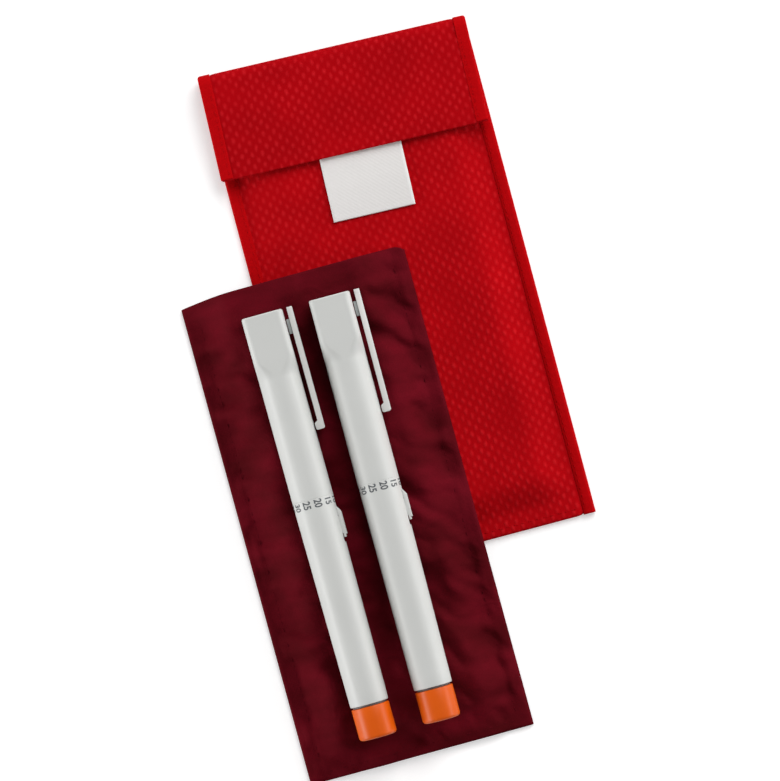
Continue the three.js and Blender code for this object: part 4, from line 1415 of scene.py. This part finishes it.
# Cartridge and its holder, under the cap: a glass cartridge with a crimped aluminium cap and a
# rubber plunger, in a clear holder whose nose takes the needle.
holder_profile = [
    (3.95, 9.3), (4.5, 9.3), (4.7, 9.5), (4.55, 10.2), (4.7, 10.9), (4.55, 11.6), (4.7, 12.3),
    (4.55, 13.0), (4.7, 13.7), (4.7, 15.5), (6.35, 18.5), (6.35, 66), (6.45, 66.5), (6.45, 68.5),
    (6.35, 69), (6.35, 77), (5.95, 77), (5.95, 18.5), (3.95, 15.5), (3.95, 9.3),
]
cartridge_profile = [
    (2.2, 12.3), (3.1, 12.3), (3.3, 12.6), (3.3, 17.0), (3.5, 17.7), (4.6, 18.7), (5.4, 19.2),
    (5.7, 20.0), (5.7, 75.2), (5.5, 75.5), (5.1, 75.5), (4.9, 75.2), (4.9, 20.4), (4.5, 19.8),
    (3.1, 18.9), (2.3, 18.2), (2.2, 17.5), (2.2, 12.3),
]
crimp_profile = [
    (0, 11.8), (1.6, 11.8), (1.7, 11.9), (3.6, 11.8), (3.8, 12.0), (3.8, 14.7), (3.7, 14.8),
    (3.5, 14.7), (3.5, 12.1), (0, 12.1),
]
plunger_ribs = 2.5
plunger_profile = (
    [(0, 71.7), (4.3, 71.7)]
    + [
        (4.65 - 0.25 * (0.5 - 0.5 * math.cos(v * 2 * math.pi * plunger_ribs)), 71.9 + 3.2 * v)
        for v in spread(0, 1, 20)
    ]
    + [(4.3, 75.3), (0, 75.3)]
)


def clear_material(name, tint, ior, roughness):
    """Clear moulded polycarbonate or drawn glass: it bends light and has faint flow lines."""
    clear = {"Base Color": colour(tint), "Transmission Weight": 1}
    material, tree, shader = new_material(name, clear | {"IOR": ior, "Roughness": roughness})
    place = add_node(tree, "TexCoord").outputs["Object"]
    flow = add_node(tree, "TexNoise", {"Vector": place, "Scale": 150, "Detail": 2})
    bump = add_node(tree, "Bump", {"Height": flow, "Distance": 0.00005, "Strength": 0.4})
    set_inputs(shader, {"Normal": bump})
    return material


def worked_metal(name, tint, shade, roughness, pitch):
    """Bare metal as drawn or rolled: fine lines that stretch the highlight, a little dulled."""
    material, tree, shader = new_material(name, {"Metallic": 1})
    place = add_node(tree, "TexCoord").outputs["Object"]
    stretch = {"Vector": place, "Scale": (1000 / pitch, 60 / pitch, 1000 / pitch)}
    lines = add_node(tree, "Mapping", stretch)
    drawn = add_node(tree, "TexNoise", {"Vector": lines, "Scale": 1, "Detail": 2})
    tones = {"Factor": drawn, 6: colour(shade), 7: colour(tint)}
    tone = add_node(tree, "Mix", tones, data_type="RGBA").outputs[2]
    gloss = {"Value": drawn, "To Min": roughness - 0.07, "To Max": roughness + 0.1}
    set_inputs(shader, {"Base Color": tone, "Roughness": add_node(tree, "MapRange", gloss)})
    return material


clear_plastic = clear_material("clear_polycarbonate", "eef4f5", 1.585, 0.08)
clear_glass = clear_material("borosilicate_glass", "f4fafa", 1.47, 0.0)
aluminium = worked_metal("rolled_aluminium", "d6d8da", "bfc2c5", 0.3, 0.4)
grey_rubber = moulded_plastic("bromobutyl_rubber", "4c4e52", "3f4145", 0.65)
for part, profile, body, material, slot_name in (
    ("cartridge_holder", holder_profile, "pen", clear_plastic, "clear_holder"),
    ("cartridge", cartridge_profile, "pen", clear_glass, "cartridge_glass"),
    ("cartridge_crimp", crimp_profile, "pen", aluminium, "crimp_metal"),
    ("plunger", plunger_profile, "piston", grey_rubber, "rubber"),
):
    fit_to_pens(
        f"{part}_turned", turned(profile, 64), material,
        sharp=35, body=body, solid=part, slot=slot_name,
    )


# Drive, inside the barrel: a threaded piston rod that pushes the plunger, and the nut and the
# steel spring that stay as the solids are.
rod_start = 75.5
rod_length = 66.1
rod_ring, rod_rows = 24, 300
foot_end = 76.8
foot_radius = 3.8
thread_radius = 2.2
thread_depth = 0.3
thread_pitch = 1.6


def rod_point(k, row):
    station = rod_start + row * rod_length / rod_rows
    phase = station / thread_pitch - k / rod_ring
    groove = thread_depth * (0.5 + 0.5 * math.cos(2 * math.pi * phase)) ** 2
    radius = foot_radius if station < foot_end else thread_radius - groove
    angle = 2 * math.pi * k / rod_ring
    return Vector((radius * math.cos(angle), -station, radius * math.sin(angle)))


spring_steel = worked_metal("drawn_spring_steel", "babcbf", "9fa2a6", 0.32, 0.3)
fit_to_pens(
    "threaded_rod", filled_grid(rod_ring + 1, rod_rows + 1, rod_point), grey_plastic,
    sharp=50, body="piston", solid="piston_rod", slot="grey_plastic",
)
for side in pen_places:
    for node_name, material in (("guide_nut", grey_plastic), ("drive_spring", spring_steel)):
        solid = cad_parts[f"{side}_pen_{node_name}"].data
        solid.materials.clear()
        solid.materials.append(material)
